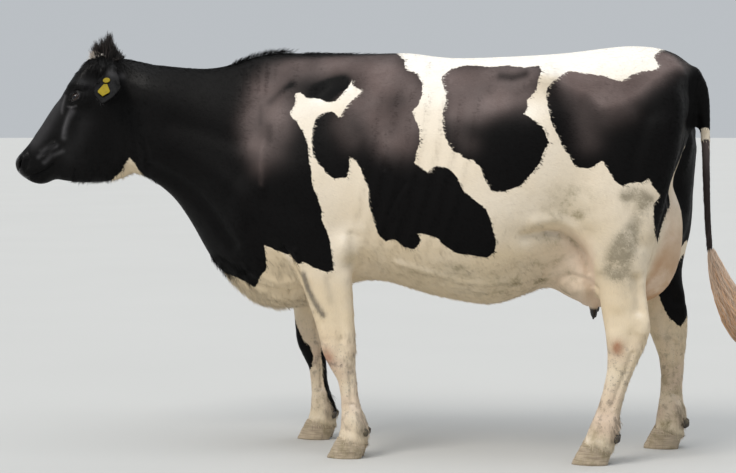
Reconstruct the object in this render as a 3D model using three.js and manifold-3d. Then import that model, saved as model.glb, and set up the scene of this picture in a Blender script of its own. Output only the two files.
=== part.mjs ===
// A standing Holstein-Friesian dairy cow, life size, as a still display model.
// Units are millimetres and +Z is up. She faces -X, and her left side looks toward -Y.
// The body is modelled whole from lofted forms, then parted by thin cuts.
import * as THREE from 'three';
import { LoftGeometry } from 'three/addons/geometries/LoftGeometry.js';
import { mergeVertices } from 'three/addons/utils/BufferGeometryUtils.js';
import Module from 'manifold-3d';

const wasm = await Module();
wasm.setup();

// ---------------------------------------------------------------- driving dimensions

const KERF = 0.6;               // gap left between two parts of the body
const FORE_TRACK = 190;         // mid-plane to the middle of each foreleg
const HIND_TRACK = 187;         // mid-plane to the middle of each hind leg
const FORE_INNER = 112;         // inner face of the shoulder cut
const HIND_INNER = 92;          // inner face of the thigh cut
const CLAW_LENGTH = 128;        // toe tip to heel on the sole
const CLAW_WIDTH = 53;
const CLAW_CLEFT = 5;           // gap between the two claws of a foot
const TOE_HEIGHT = 78;          // coronet above the floor at the toe
const HEEL_HEIGHT = 44;         // and at the heel
const TOE_SLOPE = 62;           // degrees between the front wall and the floor
const CORONET_LENGTH = 100;
const DEWCLAW_HEIGHT = 92;      // middle of a dewclaw above the floor
const EYE_RADIUS = 21;
const EYE_CENTRE = [-1062, 99, 1281];
const EAR_LENGTH = 205;
const EAR_WIDTH = 104;
const EAR_THICKNESS = 9;
const EAR_ROOT = [-938, 70, 1404];
const TAG_BUTTON_RADIUS = 13;
const TAG_PLATE = [44, 62];     // width and height of the flat plate
const TAG_THICKNESS = 2.4;
const TAG_LIFT = 7;             // from the middle of the ear's thickness to the tag's back

// How finely each form is divided, along it and around it.
const [TRUNK_ROWS, TRUNK_COLUMNS] = [24, 24];
const [HEAD_ROWS, HEAD_COLUMNS] = [17, 16];
const [LEG_ROWS, LEG_COLUMNS] = [19, 12];
const [UDDER_ROWS, UDDER_COLUMNS] = [11, 14];

// ---------------------------------------------------------------- colours

const COLOURS = {
  black: [0x231f20, 0.75],
  white: [0xe9e2d3, 0.8],
  pink: [0xd9a98f, 0.7],
  slate: [0x2b2627, 0.5],
  horn: [0xb7a27f, 0.55],
  darkHorn: [0x3a3029, 0.6],
  eye: [0x120c0a, 0.08],
  yellow: [0xe3c316, 0.45],
};

function material(name) {
  const [color, roughness] = COLOURS[name];
  return new THREE.MeshStandardMaterial({ color, roughness, metalness: 0 });
}

// ---------------------------------------------------------------- solids

// A closed three.js geometry as a solid, turned the right way out.
function solid(geometry) {
  const bare = new THREE.BufferGeometry().copy(geometry);
  bare.deleteAttribute('normal');
  bare.deleteAttribute('uv');
  const merged = mergeVertices(bare, 1e-3);
  const points = merged.getAttribute('position');
  const index = Array.from(merged.index.array);
  const [a, b, c] = [new THREE.Vector3(), new THREE.Vector3(), new THREE.Vector3()];
  const triangles = [];
  let volume = 0;
  for (let i = 0; i < index.length; i += 3) {
    const [p, q, r] = index.slice(i, i + 3);
    if (p === q || q === r || r === p) continue;
    a.fromBufferAttribute(points, p);
    b.fromBufferAttribute(points, q);
    c.fromBufferAttribute(points, r);
    volume += a.dot(b.cross(c));
    triangles.push(p, q, r);
  }
  if (volume < 0) triangles.reverse();
  return new wasm.Manifold(new wasm.Mesh({
    numProp: 3,
    vertProperties: new Float32Array(points.array),
    triVerts: new Uint32Array(triangles),
  }));
}

// A solid skinned over rings of points. Each ring has to run counterclockwise as seen
// from the far end of the loft.
function skin(sections) {
  const [first, second] = [sections[0], sections[1]];
  const middle = (ring) => ring.reduce((sum, p) => sum.add(p), new THREE.Vector3()).divideScalar(ring.length);
  const start = middle(first);
  const normal = new THREE.Vector3();
  first.forEach((p, i) => {
    const q = first[(i + 1) % first.length];
    normal.add(new THREE.Vector3().subVectors(p, start).cross(q.clone().sub(start)));
  });
  if (normal.dot(middle(second).sub(start)) < 0) sections.forEach((ring) => ring.reverse());
  return solid(new LoftGeometry(sections, { capStart: true, capEnd: true }));
}

// The largest single body of a solid, as a named mesh.
function mesh(name, body, colour) {
  const bodies = body.decompose().sort((p, q) => q.volume() - p.volume());
  const { vertProperties, triVerts, numProp } = bodies[0].getMesh();
  const positions = [];
  for (let i = 0; i < vertProperties.length; i += numProp) {
    positions.push(vertProperties[i], vertProperties[i + 1], vertProperties[i + 2]);
  }
  const geometry = new THREE.BufferGeometry();
  geometry.setAttribute('position', new THREE.Float32BufferAttribute(positions, 3));
  geometry.setIndex(Array.from(triVerts));
  const result = new THREE.Mesh(geometry, material(colour));
  result.name = name;
  return result;
}

function join(...bodies) {
  return bodies.reduce((whole, next) => whole.add(next));
}

// One cross-section of a form that is drawn in side view. It runs from the point a
// to the point b, both [x, z], and swells to `half` on each side of the plane y.
// `at` is how far along a-b it is widest. A fullness of 2 is an ellipse, less is a
// ridge and more is boxy: `fullA` shapes the a side and `fullB` the b side.
function rib(a, b, half, at = 0.5, fullA = 2, fullB = 2, y = 0) {
  return [...a, ...b, half, at, fullA, fullB, y];
}

// A smooth form through its ribs. `grow` makes it that much fatter, for clearances.
function loft(ribs, rows, columns, grow = 0) {
  const size = ribs[0].length;
  const knots = [0];
  for (let i = 1; i < ribs.length; i++) {
    const [p, q] = [ribs[i - 1], ribs[i]];
    const step = (Math.hypot(q[0] - p[0], q[1] - p[1]) + Math.hypot(q[2] - p[2], q[3] - p[3])) / 2;
    knots.push(knots[i - 1] + step);
  }
  const curve = new THREE.CubicInterpolant(knots, ribs.flat(), size, new Float32Array(size));
  const sections = [];
  for (let row = 0; row <= rows; row++) {
    const [ax, az, bx, bz, half, at, fullA, fullB, y] = curve.evaluate(knots.at(-1) * row / rows);
    const span = Math.hypot(bx - ax, bz - az);
    const section = [];
    for (let column = 0; column < columns; column++) {
      const turn = 2 * Math.PI * (column + 0.5) / columns;
      const [c, s] = [Math.cos(turn), Math.sin(turn)];
      const power = 2 / (c > 0 ? fullA : fullB);
      const reach = c > 0 ? -(at * span + grow) : (1 - at) * span + grow;
      const along = (at * span + reach * Math.abs(c) ** power) / span;
      const side = Math.sign(s) * (half + grow) * Math.abs(s) ** power;
      section.push(new THREE.Vector3(ax + (bx - ax) * along, y + side, az + (bz - az) * along));
    }
    sections.push(section);
  }
  return skin(sections);
}

// A prism with the given side-view outline, from yFrom to yTo, fatter by `grow`.
function prism(outline, yFrom, yTo, grow = 0) {
  const shape = new THREE.Shape(outline.map(([x, z]) => new THREE.Vector2(x, z)));
  const geometry = new THREE.ExtrudeGeometry(shape, {
    depth: yTo - yFrom,
    bevelEnabled: grow > 0,
    bevelThickness: grow,
    bevelSize: grow,
    bevelSegments: 1,
  });
  geometry.rotateX(Math.PI / 2);
  geometry.translate(0, yTo, 0);
  return solid(geometry);
}

// Parts a body: what lies inside the prism, and the rest with a thin gap to it.
function part(body, outline, yFrom, yTo) {
  const inside = prism(outline, yFrom, yTo);
  const outside = prism(outline, yFrom, yTo, KERF);
  return [body.intersect(inside), body.subtract(outside)];
}

// A rounded swelling such as a bone under the skin.
function swell([x, y, z], [rx, ry, rz], lean = 0) {
  const ball = new THREE.SphereGeometry(1, 10, 7);
  ball.scale(rx, ry, rz);
  ball.rotateY(THREE.MathUtils.degToRad(lean));
  ball.translate(x, y, z);
  return solid(ball);
}

// The same swelling on both sides of the body.
function pair([x, y, z], radii, lean = 0) {
  return join(swell([x, y, z], radii, lean), swell([x, -y, z], radii, lean));
}

// ---------------------------------------------------------------- trunk and neck

// One upright rib for each station along the body, from the throat to the rump.
function upright(x, top, bottom, half, at, fullTop, fullBottom) {
  return rib([x, top], [x, bottom], half, at, fullTop, fullBottom);
}

const TRUNK = [
  upright(-905, 1428, 1012, 74, 0.5, 2.0, 2.0),
  upright(-850, 1411, 997, 84, 0.5, 1.9, 2.1),
  upright(-770, 1398, 950, 94, 0.48, 1.8, 2.2),
  upright(-690, 1393, 876, 104, 0.47, 1.7, 2.2),
  upright(-620, 1386, 742, 122, 0.47, 1.6, 2.0),
  upright(-560, 1388, 645, 148, 0.5, 1.55, 1.9),
  upright(-500, 1401, 588, 178, 0.55, 1.5, 1.8),
  upright(-440, 1425, 532, 208, 0.58, 1.5, 1.8),
  upright(-370, 1447, 504, 229, 0.56, 1.45, 1.8),
  upright(-290, 1447, 508, 240, 0.54, 1.45, 1.9),
  upright(-200, 1441, 530, 246, 0.52, 1.55, 2.0),
  upright(-110, 1443, 572, 251, 0.52, 1.7, 2.1),
  upright(-20, 1438, 616, 264, 0.54, 1.85, 2.1),
  upright(60, 1441, 619, 284, 0.56, 2.0, 2.1),
  upright(150, 1446, 590, 304, 0.57, 2.1, 2.1),
  upright(250, 1430, 560, 322, 0.57, 2.2, 2.1),
  upright(350, 1427, 543, 332, 0.56, 2.3, 2.1),
  upright(460, 1430, 527, 335, 0.55, 2.4, 2.1),
  upright(560, 1434, 564, 327, 0.52, 2.5, 2.1),
  upright(660, 1438, 606, 308, 0.46, 2.6, 2.1),
  upright(760, 1446, 650, 288, 0.4, 2.6, 2.1),
  upright(860, 1461, 700, 268, 0.38, 2.5, 2.1),
  upright(960, 1469, 780, 240, 0.38, 2.5, 2.0),
  upright(1050, 1460, 900, 206, 0.38, 2.4, 2.0),
  upright(1105, 1440, 1010, 168, 0.38, 2.3, 2.0),
  upright(1142, 1412, 1110, 116, 0.38, 2.0, 2.0),
  upright(1160, 1375, 1200, 40, 0.4, 2.0, 2.0),
];

const trunkForm = join(
  loft(TRUNK, TRUNK_ROWS, TRUNK_COLUMNS),
  pair([655, 190, 1345], [88, 88, 54], 8),        // hooks
  pair([1098, 104, 1366], [58, 50, 44], 20),      // pins
  pair([-408, 146, 884], [74, 72, 96], 20),       // points of the shoulders
);

// ---------------------------------------------------------------- head

// From the poll to the muzzle, a on the face and b on the jaw.
const HEAD = [
  rib([-905, 1424], [-868, 1010], 70, 0.4),
  rib([-962, 1450], [-905, 984], 84, 0.36),
  rib([-1010, 1448], [-955, 967], 92, 0.33, 2.4),
  rib([-1046, 1424], [-1005, 963], 100, 0.3, 2.6),
  rib([-1078, 1388], [-1052, 961], 106, 0.27, 2.8),
  rib([-1108, 1350], [-1095, 962], 102, 0.27, 2.7),
  rib([-1134, 1304], [-1128, 965], 90, 0.28, 2.5),
  rib([-1168, 1268], [-1156, 970], 79, 0.32, 2.3),
  rib([-1201, 1225], [-1180, 974], 71, 0.37, 2.2, 2.1),
  rib([-1234, 1176], [-1200, 966], 66, 0.43, 2.2, 2.2),
  rib([-1266, 1132], [-1224, 957], 68, 0.48, 2.4, 2.4),
  rib([-1297, 1090], [-1252, 959], 73, 0.5, 2.6, 2.5),
  rib([-1320, 1072], [-1280, 971], 69, 0.5, 2.6, 2.4),
  rib([-1332, 1052], [-1303, 986], 54, 0.5, 2.4, 2.2),
  rib([-1336, 1034], [-1320, 1002], 28, 0.5),
];

const headForm = join(
  loft(HEAD, HEAD_ROWS, HEAD_COLUMNS),
  pair([-1052, 78, 1318], [44, 36, 32], 30),      // brows
);

// ---------------------------------------------------------------- legs

// Ribs of a leg seen from the side, from the body down to the coronet:
// [front x, front z, rear x, rear z, half width, widest at, sideways from the track].
const HIND_LEG = [
  [900, 1338, 1118, 1345, 52, 0.5, -34],
  [832, 1240, 1146, 1262, 88, 0.5, -20],
  [782, 1110, 1136, 1122, 104, 0.48, -8],
  [748, 985, 1108, 998, 106, 0.46, -4],
  [738, 885, 1080, 893, 101, 0.44, -4],
  [757, 800, 1058, 812, 91, 0.43, -2],
  [797, 728, 1031, 733, 79, 0.43, 0],
  [827, 662, 1016, 662, 66, 0.44, 0],
  [840, 592, 1012, 592, 55, 0.45, 0],
  [850, 532, 1022, 535, 50, 0.42, 0],
  [862, 470, 1031, 488, 50, 0.4, 0],
  [870, 408, 1014, 424, 48, 0.4, 0],
  [872, 345, 980, 352, 41, 0.42, 0],
  [863, 288, 955, 292, 35, 0.45, 0],
  [848, 226, 935, 228, 33, 0.48, 0],
  [831, 174, 922, 176, 36, 0.5, 0],
  [813, 130, 918, 134, 46, 0.52, 0],
  [803, 103, 915, 96, 50, 0.5, 0],
  [793, TOE_HEIGHT + KERF, 793 + CORONET_LENGTH + 8, HEEL_HEIGHT + KERF, 56, 0.5, 0],
];

const FORE_LEG = [
  [-372, 1010, -142, 1030, 40, 0.5, -18],
  [-400, 930, -100, 945, 56, 0.5, -12],
  [-388, 850, -66, 862, 64, 0.5, -6],
  [-342, 772, -38, 790, 67, 0.5, -2],
  [-280, 705, -18, 716, 65, 0.5, 0],
  [-232, 648, -20, 650, 60, 0.48, 0],
  [-204, 591, -21, 594, 55, 0.46, 0],
  [-180, 526, -18, 530, 50, 0.44, 0],
  [-157, 460, -14, 462, 48, 0.42, 0],
  [-141, 398, -11, 400, 52, 0.4, 0],
  [-124, 345, -12, 346, 49, 0.42, 0],
  [-96, 298, -12, 299, 38, 0.45, 0],
  [-76, 258, -6, 259, 33, 0.48, 0],
  [-71, 205, -1, 206, 32, 0.5, 0],
  [-68, 166, 10, 166, 37, 0.5, 0],
  [-68, 128, 24, 130, 47, 0.5, 0],
  [-70, 104, 28, 98, 50, 0.5, 0],
  [-76, TOE_HEIGHT + KERF, -76 + CORONET_LENGTH + 8, HEEL_HEIGHT + KERF, 56, 0.5, 0],
];

// How far the right leg stands from the left one's place, as [height, x shift].
const HIND_STEP = [[0, 245], [80, 243], [130, 230], [190, 214], [255, 199], [312, 183], [394, 153],
  [480, 126], [570, 122], [680, 117], [760, 116], [820, 104], [920, 70], [1010, 52], [1110, 34],
  [1300, 10], [1400, 0]];
const FORE_STEP = [[0, -182], [90, -182], [165, -180], [262, -179], [345, -174], [395, -167],
  [456, -158], [524, -142], [591, -122], [650, -104], [720, -80], [800, -56], [960, -34], [1100, -20]];

function step(table, z) {
  const size = 1;
  const heights = table.map(([height]) => height);
  const shifts = table.map(([, shift]) => shift);
  return new THREE.CubicInterpolant(heights, shifts, size, new Float32Array(size)).evaluate(z)[0];
}

// side is -1 for the cow's left leg and +1 for her right one.
function legRibs(rows, track, side, steps) {
  const shift = (z) => (side > 0 ? step(steps, z) : 0);
  return rows.map(([ax, az, bx, bz, half, at, inward]) => rib(
    [ax + shift(az), az], [bx + shift(bz), bz], half, at, 2.1, 2.1, side * (track + inward)));
}

// ---------------------------------------------------------------- feet

// One claw: its outline at a height, 0 on the sole and 1 at the coronet.
// The front wall leans back, and the inner side, toward `inner`, is nearly straight.
function clawSection(level, inner) {
  const toeLean = TOE_HEIGHT / Math.tan(THREE.MathUtils.degToRad(TOE_SLOPE));
  const front = THREE.MathUtils.lerp(-toeLean, 0, level);
  const back = THREE.MathUtils.lerp(CLAW_LENGTH - toeLean, CORONET_LENGTH, level);
  const section = [];
  for (let i = 0; i < 12; i++) {
    const turn = 2 * Math.PI * i / 12;
    const along = 0.5 - 0.5 * Math.cos(turn);
    const bulge = Math.sin(turn) * (0.78 + 0.22 * Math.sin(Math.PI * along * 0.8));
    const straight = Math.sign(bulge) === inner ? 0.84 : 1;
    const width = CLAW_WIDTH / 2 * THREE.MathUtils.lerp(1, 0.94, level);
    const height = level * THREE.MathUtils.lerp(TOE_HEIGHT, HEEL_HEIGHT, along);
    const towardToe = (1 - along) ** 3 * 0.25 * inner * (1 - level);
    section.push(new THREE.Vector3(
      THREE.MathUtils.lerp(front, back, along),
      width * (bulge * straight + towardToe),
      height));
  }
  return section;
}

function claw(x, y, inner) {
  const place = new THREE.Vector3(x, y, 0);
  return skin([0, 1].map((level) => clawSection(level, inner).map((p) => p.add(place))));
}

function dewclaw(x, y) {
  const cone = new THREE.SphereGeometry(1, 6, 4);
  cone.scale(19, 13, 21);
  cone.rotateY(THREE.MathUtils.degToRad(35));
  cone.translate(x, y, DEWCLAW_HEIGHT);
  return solid(cone);
}

// ---------------------------------------------------------------- udder and tail

const UDDER = [
  rib([650, 690], [656, 618], 44),
  rib([690, 742], [690, 586], 138, 0.6),
  rib([740, 792], [742, 552], 186, 0.6),
  rib([800, 840], [800, 539], 200, 0.6, 2, 2.3),
  rib([860, 880], [860, 536], 186, 0.6, 2, 2.4),
  rib([920, 925], [920, 537], 160, 0.58, 2, 2.4),
  rib([975, 960], [975, 540], 148, 0.56, 2, 2.3),
  rib([1026, 985], [1026, 549], 146, 0.54, 2, 2.2),
  rib([1068, 990], [1070, 578], 136, 0.52),
  rib([1104, 965], [1105, 628], 112),
  rib([1127, 905], [1128, 704], 74),
  rib([1136, 850], [1136, 770], 30),
];
const TEATS = {
  teat_front_left: [822, -104],
  teat_front_right: [822, 104],
  teat_rear_left: [940, -62],
  teat_rear_right: [940, 62],
};
const TEAT_RADIUS = 13;
const TEAT_TIP = 497;

const TAIL = [
  rib([1038, 1450], [1052, 1392], 24),
  rib([1086, 1453], [1082, 1384], 34),
  rib([1128, 1430], [1104, 1366], 35),
  rib([1163, 1406], [1124, 1340], 34),
  rib([1190, 1378], [1144, 1312], 32),
  rib([1212, 1336], [1160, 1278], 30),
  rib([1224, 1282], [1172, 1232], 26),
  rib([1228, 1200], [1181, 1192], 22),
  rib([1227, 1110], [1188, 1108], 20),
  rib([1229, 1000], [1193, 998], 18.5),
  rib([1232, 890], [1200, 889], 17.5),
  rib([1237, 800], [1207, 798], 17),
  rib([1242, 752], [1213, 746], 17),
];

const SWITCH = [
  rib([1242, 751], [1213, 745], 17),
  rib([1262, 706], [1217, 694], 25),
  rib([1297, 645], [1229, 617], 34),
  rib([1334, 590], [1247, 555], 41),
  rib([1370, 535], [1273, 486], 43),
  rib([1394, 482], [1303, 440], 38),
  rib([1406, 438], [1340, 404], 28),
  rib([1410, 404], [1374, 384], 14),
];

// ---------------------------------------------------------------- ears, eyes, tuft and tags

// Ear axes: out along the ear, across it toward the face, and out of its back.
function earAxes(side) {
  const out = new THREE.Vector3(0.03, 0.7 * side, -0.71).normalize();
  const across = new THREE.Vector3(-1, 0.18 * side, -0.1);
  across.addScaledVector(out, -across.dot(out)).normalize();
  const back = new THREE.Vector3().crossVectors(out, across).multiplyScalar(side).normalize();
  if (back.z < 0) back.negate();
  return { out, across, back };
}

// The ear's half width along its length, 0 at the root and 1 at the tip.
const EAR_OUTLINE = new THREE.CubicInterpolant(
  [0, 0.15, 0.35, 0.6, 0.8, 0.93, 1], [0.5, 0.62, 0.93, 1, 0.76, 0.42, 0.12], 1, new Float32Array(1));

function earPoint(side, along, acrossBy, liftBy) {
  const { out, across, back } = earAxes(side);
  const root = new THREE.Vector3(EAR_ROOT[0], EAR_ROOT[1] * side, EAR_ROOT[2]);
  return root.addScaledVector(out, along).addScaledVector(across, acrossBy).addScaledVector(back, liftBy);
}

function ear(side) {
  const sections = [];
  for (let row = 0; row <= 6; row++) {
    const t = row / 6;
    const half = EAR_WIDTH / 2 * EAR_OUTLINE.evaluate(t)[0];
    const cup = 30 * Math.sin(Math.PI * Math.min(1, 0.25 + t));
    const thick = EAR_THICKNESS / 2 * (1 + 1.6 * (1 - t) ** 3);
    const section = [];
    for (let column = 0; column < 12; column++) {
      const turn = 2 * Math.PI * column / 12;
      const u = Math.cos(turn);
      section.push(earPoint(side, EAR_LENGTH * t, half * u, thick * Math.sin(turn) - cup * u * u * half / 52));
    }
    sections.push(section);
  }
  return skin(sections);
}

function eye(side, grow = 0) {
  const ball = new THREE.SphereGeometry(EYE_RADIUS + grow, 11, 7);
  ball.translate(EYE_CENTRE[0], EYE_CENTRE[1] * side, EYE_CENTRE[2]);
  return solid(ball);
}

const TUFT = [
  rib([-1010, 1422], [-926, 1400], 40),
  rib([-1028, 1450], [-914, 1432], 52),
  rib([-1020, 1478], [-918, 1464], 48),
  rib([-1000, 1498], [-930, 1488], 36),
  rib([-982, 1510], [-945, 1506], 18),
];

// A flat tag piece laid on the ear's back, from an outline in the ear's own axes.
function tagPiece(side, outline, along, acrossBy, liftBy) {
  const geometry = new THREE.ExtrudeGeometry(new THREE.Shape(outline), {
    depth: TAG_THICKNESS, bevelEnabled: false, curveSegments: 5 });
  const { out, across, back } = earAxes(side);
  const frame = new THREE.Matrix4().makeBasis(across, out, back);
  frame.setPosition(earPoint(side, along, acrossBy, liftBy));
  geometry.applyMatrix4(frame);
  return solid(geometry);
}

function discOutline(radius) {
  return new THREE.Path().absarc(0, 0, radius, 0, 2 * Math.PI).getSpacedPoints(12).slice(0, -1);
}

function plateOutline([width, height]) {
  const [w, h] = [width / 2, height];
  return [[-0.28 * w, 0], [0.28 * w, 0], [w, 0.55 * h], [0.95 * w, 0.68 * h], [0, h],
    [-0.95 * w, 0.68 * h], [-w, 0.55 * h]].map(([x, y]) => new THREE.Vector2(x, y));
}

// ---------------------------------------------------------------- the whole cow, then its parts

const legs = {};
for (const [side, name] of [[-1, 'left'], [1, 'right']]) {
  legs[`hindleg_${name}`] = legRibs(HIND_LEG, HIND_TRACK, side, HIND_STEP);
  legs[`foreleg_${name}`] = legRibs(FORE_LEG, FORE_TRACK, side, FORE_STEP);
}
const joints = join(
  swell([800, -232, 872], [52, 40, 62], -20),     // stifles
  swell([880, 232, 872], [52, 40, 62], -20),
  swell([-52, -212, 742], [44, 40, 56], 25),      // elbows
  swell([-130, 212, 742], [44, 40, 56], 25),
);

const eyes = join(eye(-1, KERF), eye(1, KERF));
const udderForm = loft(UDDER, UDDER_ROWS, UDDER_COLUMNS);
let body = join(trunkForm, headForm, udderForm, joints, loft(TAIL, 15, 8),
  ...Object.values(legs).map((ribs) => loft(ribs, LEG_ROWS, LEG_COLUMNS))).subtract(eyes);

const CUT_HEAD = [[-1500, 1700], [-925, 1700], [-930, 1440], [-862, 980], [-862, 700], [-1500, 700]];
const CUT_NECK = [[-1500, 1700], [-330, 1700], [-430, 1180], [-520, 900], [-520, 400], [-1500, 400]];
const CUT_TAIL = [[1062, 1600], [1072, 1404], [1118, 1346], [1150, 1290], [1166, 1225], [1166, 600],
  [1400, 600], [1400, 1600]];
const CUT_UDDER = [[600, 400], [640, 640], [690, 700], [800, 770], [960, 850], [1060, 990], [1300, 990],
  [1300, 400]];
const CUT_HIND = [[820, 590], [808, 662], [778, 730], [740, 800], [722, 890], [800, 1130], [900, 1290],
  [1110, 1310], [1300, 1240], [1300, -50], [600, -50], [740, 130], [840, 330]];
const CUT_FORE = [[-384, 1000], [-412, 900], [-398, 840], [-356, 772], [-294, 705], [-246, 648],
  [-216, 585], [-172, 460], [-152, 380], [-100, 250], [-120, -50], [60, -50], [20, 300], [-4, 640],
  [-4, 720], [-52, 880], [-130, 1020]];

function moved(outline, steps) {
  return outline.map(([x, z]) => [x + step(steps, THREE.MathUtils.clamp(z, 0, 1100)), z]);
}

const cow = new THREE.Group();
let head;
let neck;
let tail;
let udder;
let leg;
[head, body] = part(body, CUT_HEAD, -400, 400);
[neck, body] = part(body, CUT_NECK, -400, 400);
[tail, body] = part(body, CUT_TAIL, -44, 44);
cow.add(mesh('head', head, 'black'), mesh('neck', neck, 'black'), mesh('tail', tail, 'black'));

for (const [name, ribs] of Object.entries(legs)) {
  const side = name.endsWith('left') ? -1 : 1;
  const hind = name.startsWith('hind');
  const inner = hind ? HIND_INNER : FORE_INNER;
  const steps = hind ? HIND_STEP : FORE_STEP;
  const outline = side < 0 ? (hind ? CUT_HIND : CUT_FORE) : moved(hind ? CUT_HIND : CUT_FORE, steps);
  const reach = side < 0 ? [-450, -inner] : [inner, 450];
  [leg, body] = part(body, outline, ...reach);
  cow.add(mesh(name, leg, 'white'));

  const limb = name.replace('leg', '');
  const coronet = ribs.at(-1);
  const track = coronet[8];
  const grown = loft(ribs, LEG_ROWS, LEG_COLUMNS, KERF);
  for (const [place, offset] of [['outer', side], ['inner', -side]]) {
    const y = track + offset * (CLAW_WIDTH + CLAW_CLEFT) / 2;
    const hoof = claw(coronet[0], y, -offset);
    const spur = dewclaw(ribs.at(-2)[2] - 7, track + offset * 25).subtract(grown);
    cow.add(mesh(`claw_${limb}_${place}`, hoof, 'horn'));
    cow.add(mesh(`dewclaw_${limb}_${place}`, spur, 'darkHorn'));
  }
}

[udder, body] = part(body, CUT_UDDER, -400, 400);
cow.add(mesh('udder', udder, 'pink'), mesh('trunk', body, 'white'));

for (const [name, [x, y]] of Object.entries(TEATS)) {
  const profile = [[0, TEAT_TIP], [TEAT_RADIUS * 0.7, TEAT_TIP + 3], [TEAT_RADIUS, TEAT_TIP + 14],
    [TEAT_RADIUS * 1.15, TEAT_TIP + 60], [0, TEAT_TIP + 66]].map(([r, z]) => new THREE.Vector2(r, z));
  const teat = new THREE.LatheGeometry(profile, 7);
  teat.rotateX(Math.PI / 2);
  teat.translate(x, y, 0);
  cow.add(mesh(name, solid(teat).subtract(loft(UDDER, UDDER_ROWS, UDDER_COLUMNS, KERF)), 'slate'));
}

const switchHair = loft(SWITCH, 8, 9);
const switchGap = prism([[1150, 720], [1214, 746.4], [1243, 752.4], [1300, 764], [1300, 900], [1150, 900]],
  -100, 100);
cow.add(mesh('tail_switch', switchHair.subtract(switchGap), 'white'));

const grownHead = join(loft(HEAD, HEAD_ROWS, HEAD_COLUMNS, KERF), loft(TRUNK.slice(0, 6), 8, 32, KERF));
cow.add(mesh('poll_tuft', loft(TUFT, 4, 10).subtract(grownHead), 'black'));

for (const [side, name] of [[-1, 'left'], [1, 'right']]) {
  cow.add(mesh(`eye_${name}`, eye(side), 'eye'));
  cow.add(mesh(`ear_${name}`, ear(side).subtract(grownHead), 'black'));
  cow.add(mesh(`ear_tag_button_${name}`,
    tagPiece(side, discOutline(TAG_BUTTON_RADIUS), 92, 4, TAG_LIFT), 'yellow'));
  cow.add(mesh(`ear_tag_plate_${name}`,
    tagPiece(side, plateOutline(TAG_PLATE), 112, 4, TAG_LIFT), 'yellow'));
}

// The origin is the middle of the cow's own box, on the floor.
const box = new THREE.Box3().setFromObject(cow);
const middle = box.getCenter(new THREE.Vector3());
cow.position.set(-middle.x, -middle.y, -box.min.z);

export default cow;
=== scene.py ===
"""The looks of a life-size black-and-white dairy cow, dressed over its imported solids.

One skin covers all the flesh, with lids, folds and muscles modelled in. A short coat
lies over it in tufts, with long locks on the poll and the tail. Lengths in the drawing
of the cow are millimetres in side view, x toward the tail and z up; Blender's are metres.
"""

import math

import bmesh
import bpy
import numpy as np
from bpy.props import FloatProperty, FloatVectorProperty, IntProperty, PointerProperty
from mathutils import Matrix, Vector


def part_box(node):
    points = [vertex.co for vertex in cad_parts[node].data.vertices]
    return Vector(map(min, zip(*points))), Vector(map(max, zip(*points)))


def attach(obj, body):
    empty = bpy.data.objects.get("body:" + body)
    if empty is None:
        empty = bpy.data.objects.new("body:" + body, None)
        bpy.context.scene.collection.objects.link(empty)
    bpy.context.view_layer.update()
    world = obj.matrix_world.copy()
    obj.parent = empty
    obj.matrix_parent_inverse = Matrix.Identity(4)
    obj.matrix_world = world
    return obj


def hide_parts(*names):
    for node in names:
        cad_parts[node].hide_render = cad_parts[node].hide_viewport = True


bl_info = {
    "name": "Dairy Cow",
    "version": (1, 0, 0),
    "blender": (4, 5, 0),
    "location": "View3D > Sidebar > Cow",
    "description": "Skin, coat, eyes, claws and ear tags of a still dairy cow",
    "category": "Add Mesh",
}

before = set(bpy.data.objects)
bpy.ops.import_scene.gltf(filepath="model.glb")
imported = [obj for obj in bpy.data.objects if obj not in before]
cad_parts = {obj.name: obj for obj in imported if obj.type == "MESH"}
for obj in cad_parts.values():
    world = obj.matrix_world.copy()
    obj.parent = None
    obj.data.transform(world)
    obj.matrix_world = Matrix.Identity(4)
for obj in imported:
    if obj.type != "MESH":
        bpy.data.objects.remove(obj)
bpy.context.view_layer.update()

FLESH = [
    "head", "neck", "trunk", "udder", "tail",
    "foreleg_left", "foreleg_right", "hindleg_left", "hindleg_right",
    "ear_left", "ear_right",
    "teat_front_left", "teat_front_right", "teat_rear_left", "teat_rear_right",
]
EYES = ["eye_left", "eye_right"]
CLAWS = sorted(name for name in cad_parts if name.startswith("claw_"))
DEWCLAWS = sorted(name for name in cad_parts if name.startswith("dewclaw_"))
TAGS = sorted(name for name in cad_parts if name.startswith("ear_tag_"))

# ------------------------------------------------------------------ the drawing's scale

MM = 0.001
EYE_DRAWN = (-1062.0, 1281.0)  # the eyes' place in the drawing, which fixes its origin in the frame
TAIL_FRONT = 1165              # the tail hangs behind this place in the drawing
TAIL_SIDE = 60                 # and within this distance of the middle


def box_centre(node):
    low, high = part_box(node)
    return (low + high) / 2


ORIGIN_X = box_centre("eye_left").x - EYE_DRAWN[0] * MM


def at(x, z, y=0.0):
    """A point of the drawing, in millimetres, as metres in the frame."""
    return Vector((ORIGIN_X + x * MM, y * MM, z * MM))


def drawn(points):
    """Frame points as the drawing's x, y and z in millimetres."""
    return (points - [ORIGIN_X, 0, 0]) / MM


HEAD_CENTRE = np.array(at(-1100, 1200))

# ------------------------------------------------------------------ settings


class SkinSettings(bpy.types.PropertyGroup):
    """How the skin is made from the solids."""

    voxel: FloatProperty(name="Voxel", description="Cell size of the skin's first mesh",
                         default=0.0134, min=0.005, unit="LENGTH")
    head_scale: FloatProperty(name="Head detail", description="How much finer the head is than the body",
                              default=3.2, min=1.0)
    head_reach: FloatProperty(name="Head reach", description="Radius round the head that is finer",
                              default=0.36, unit="LENGTH")
    coat_depth: FloatProperty(name="Coat depth", description="How far the skin lies inside the solids",
                              default=0.003, unit="LENGTH")


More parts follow.
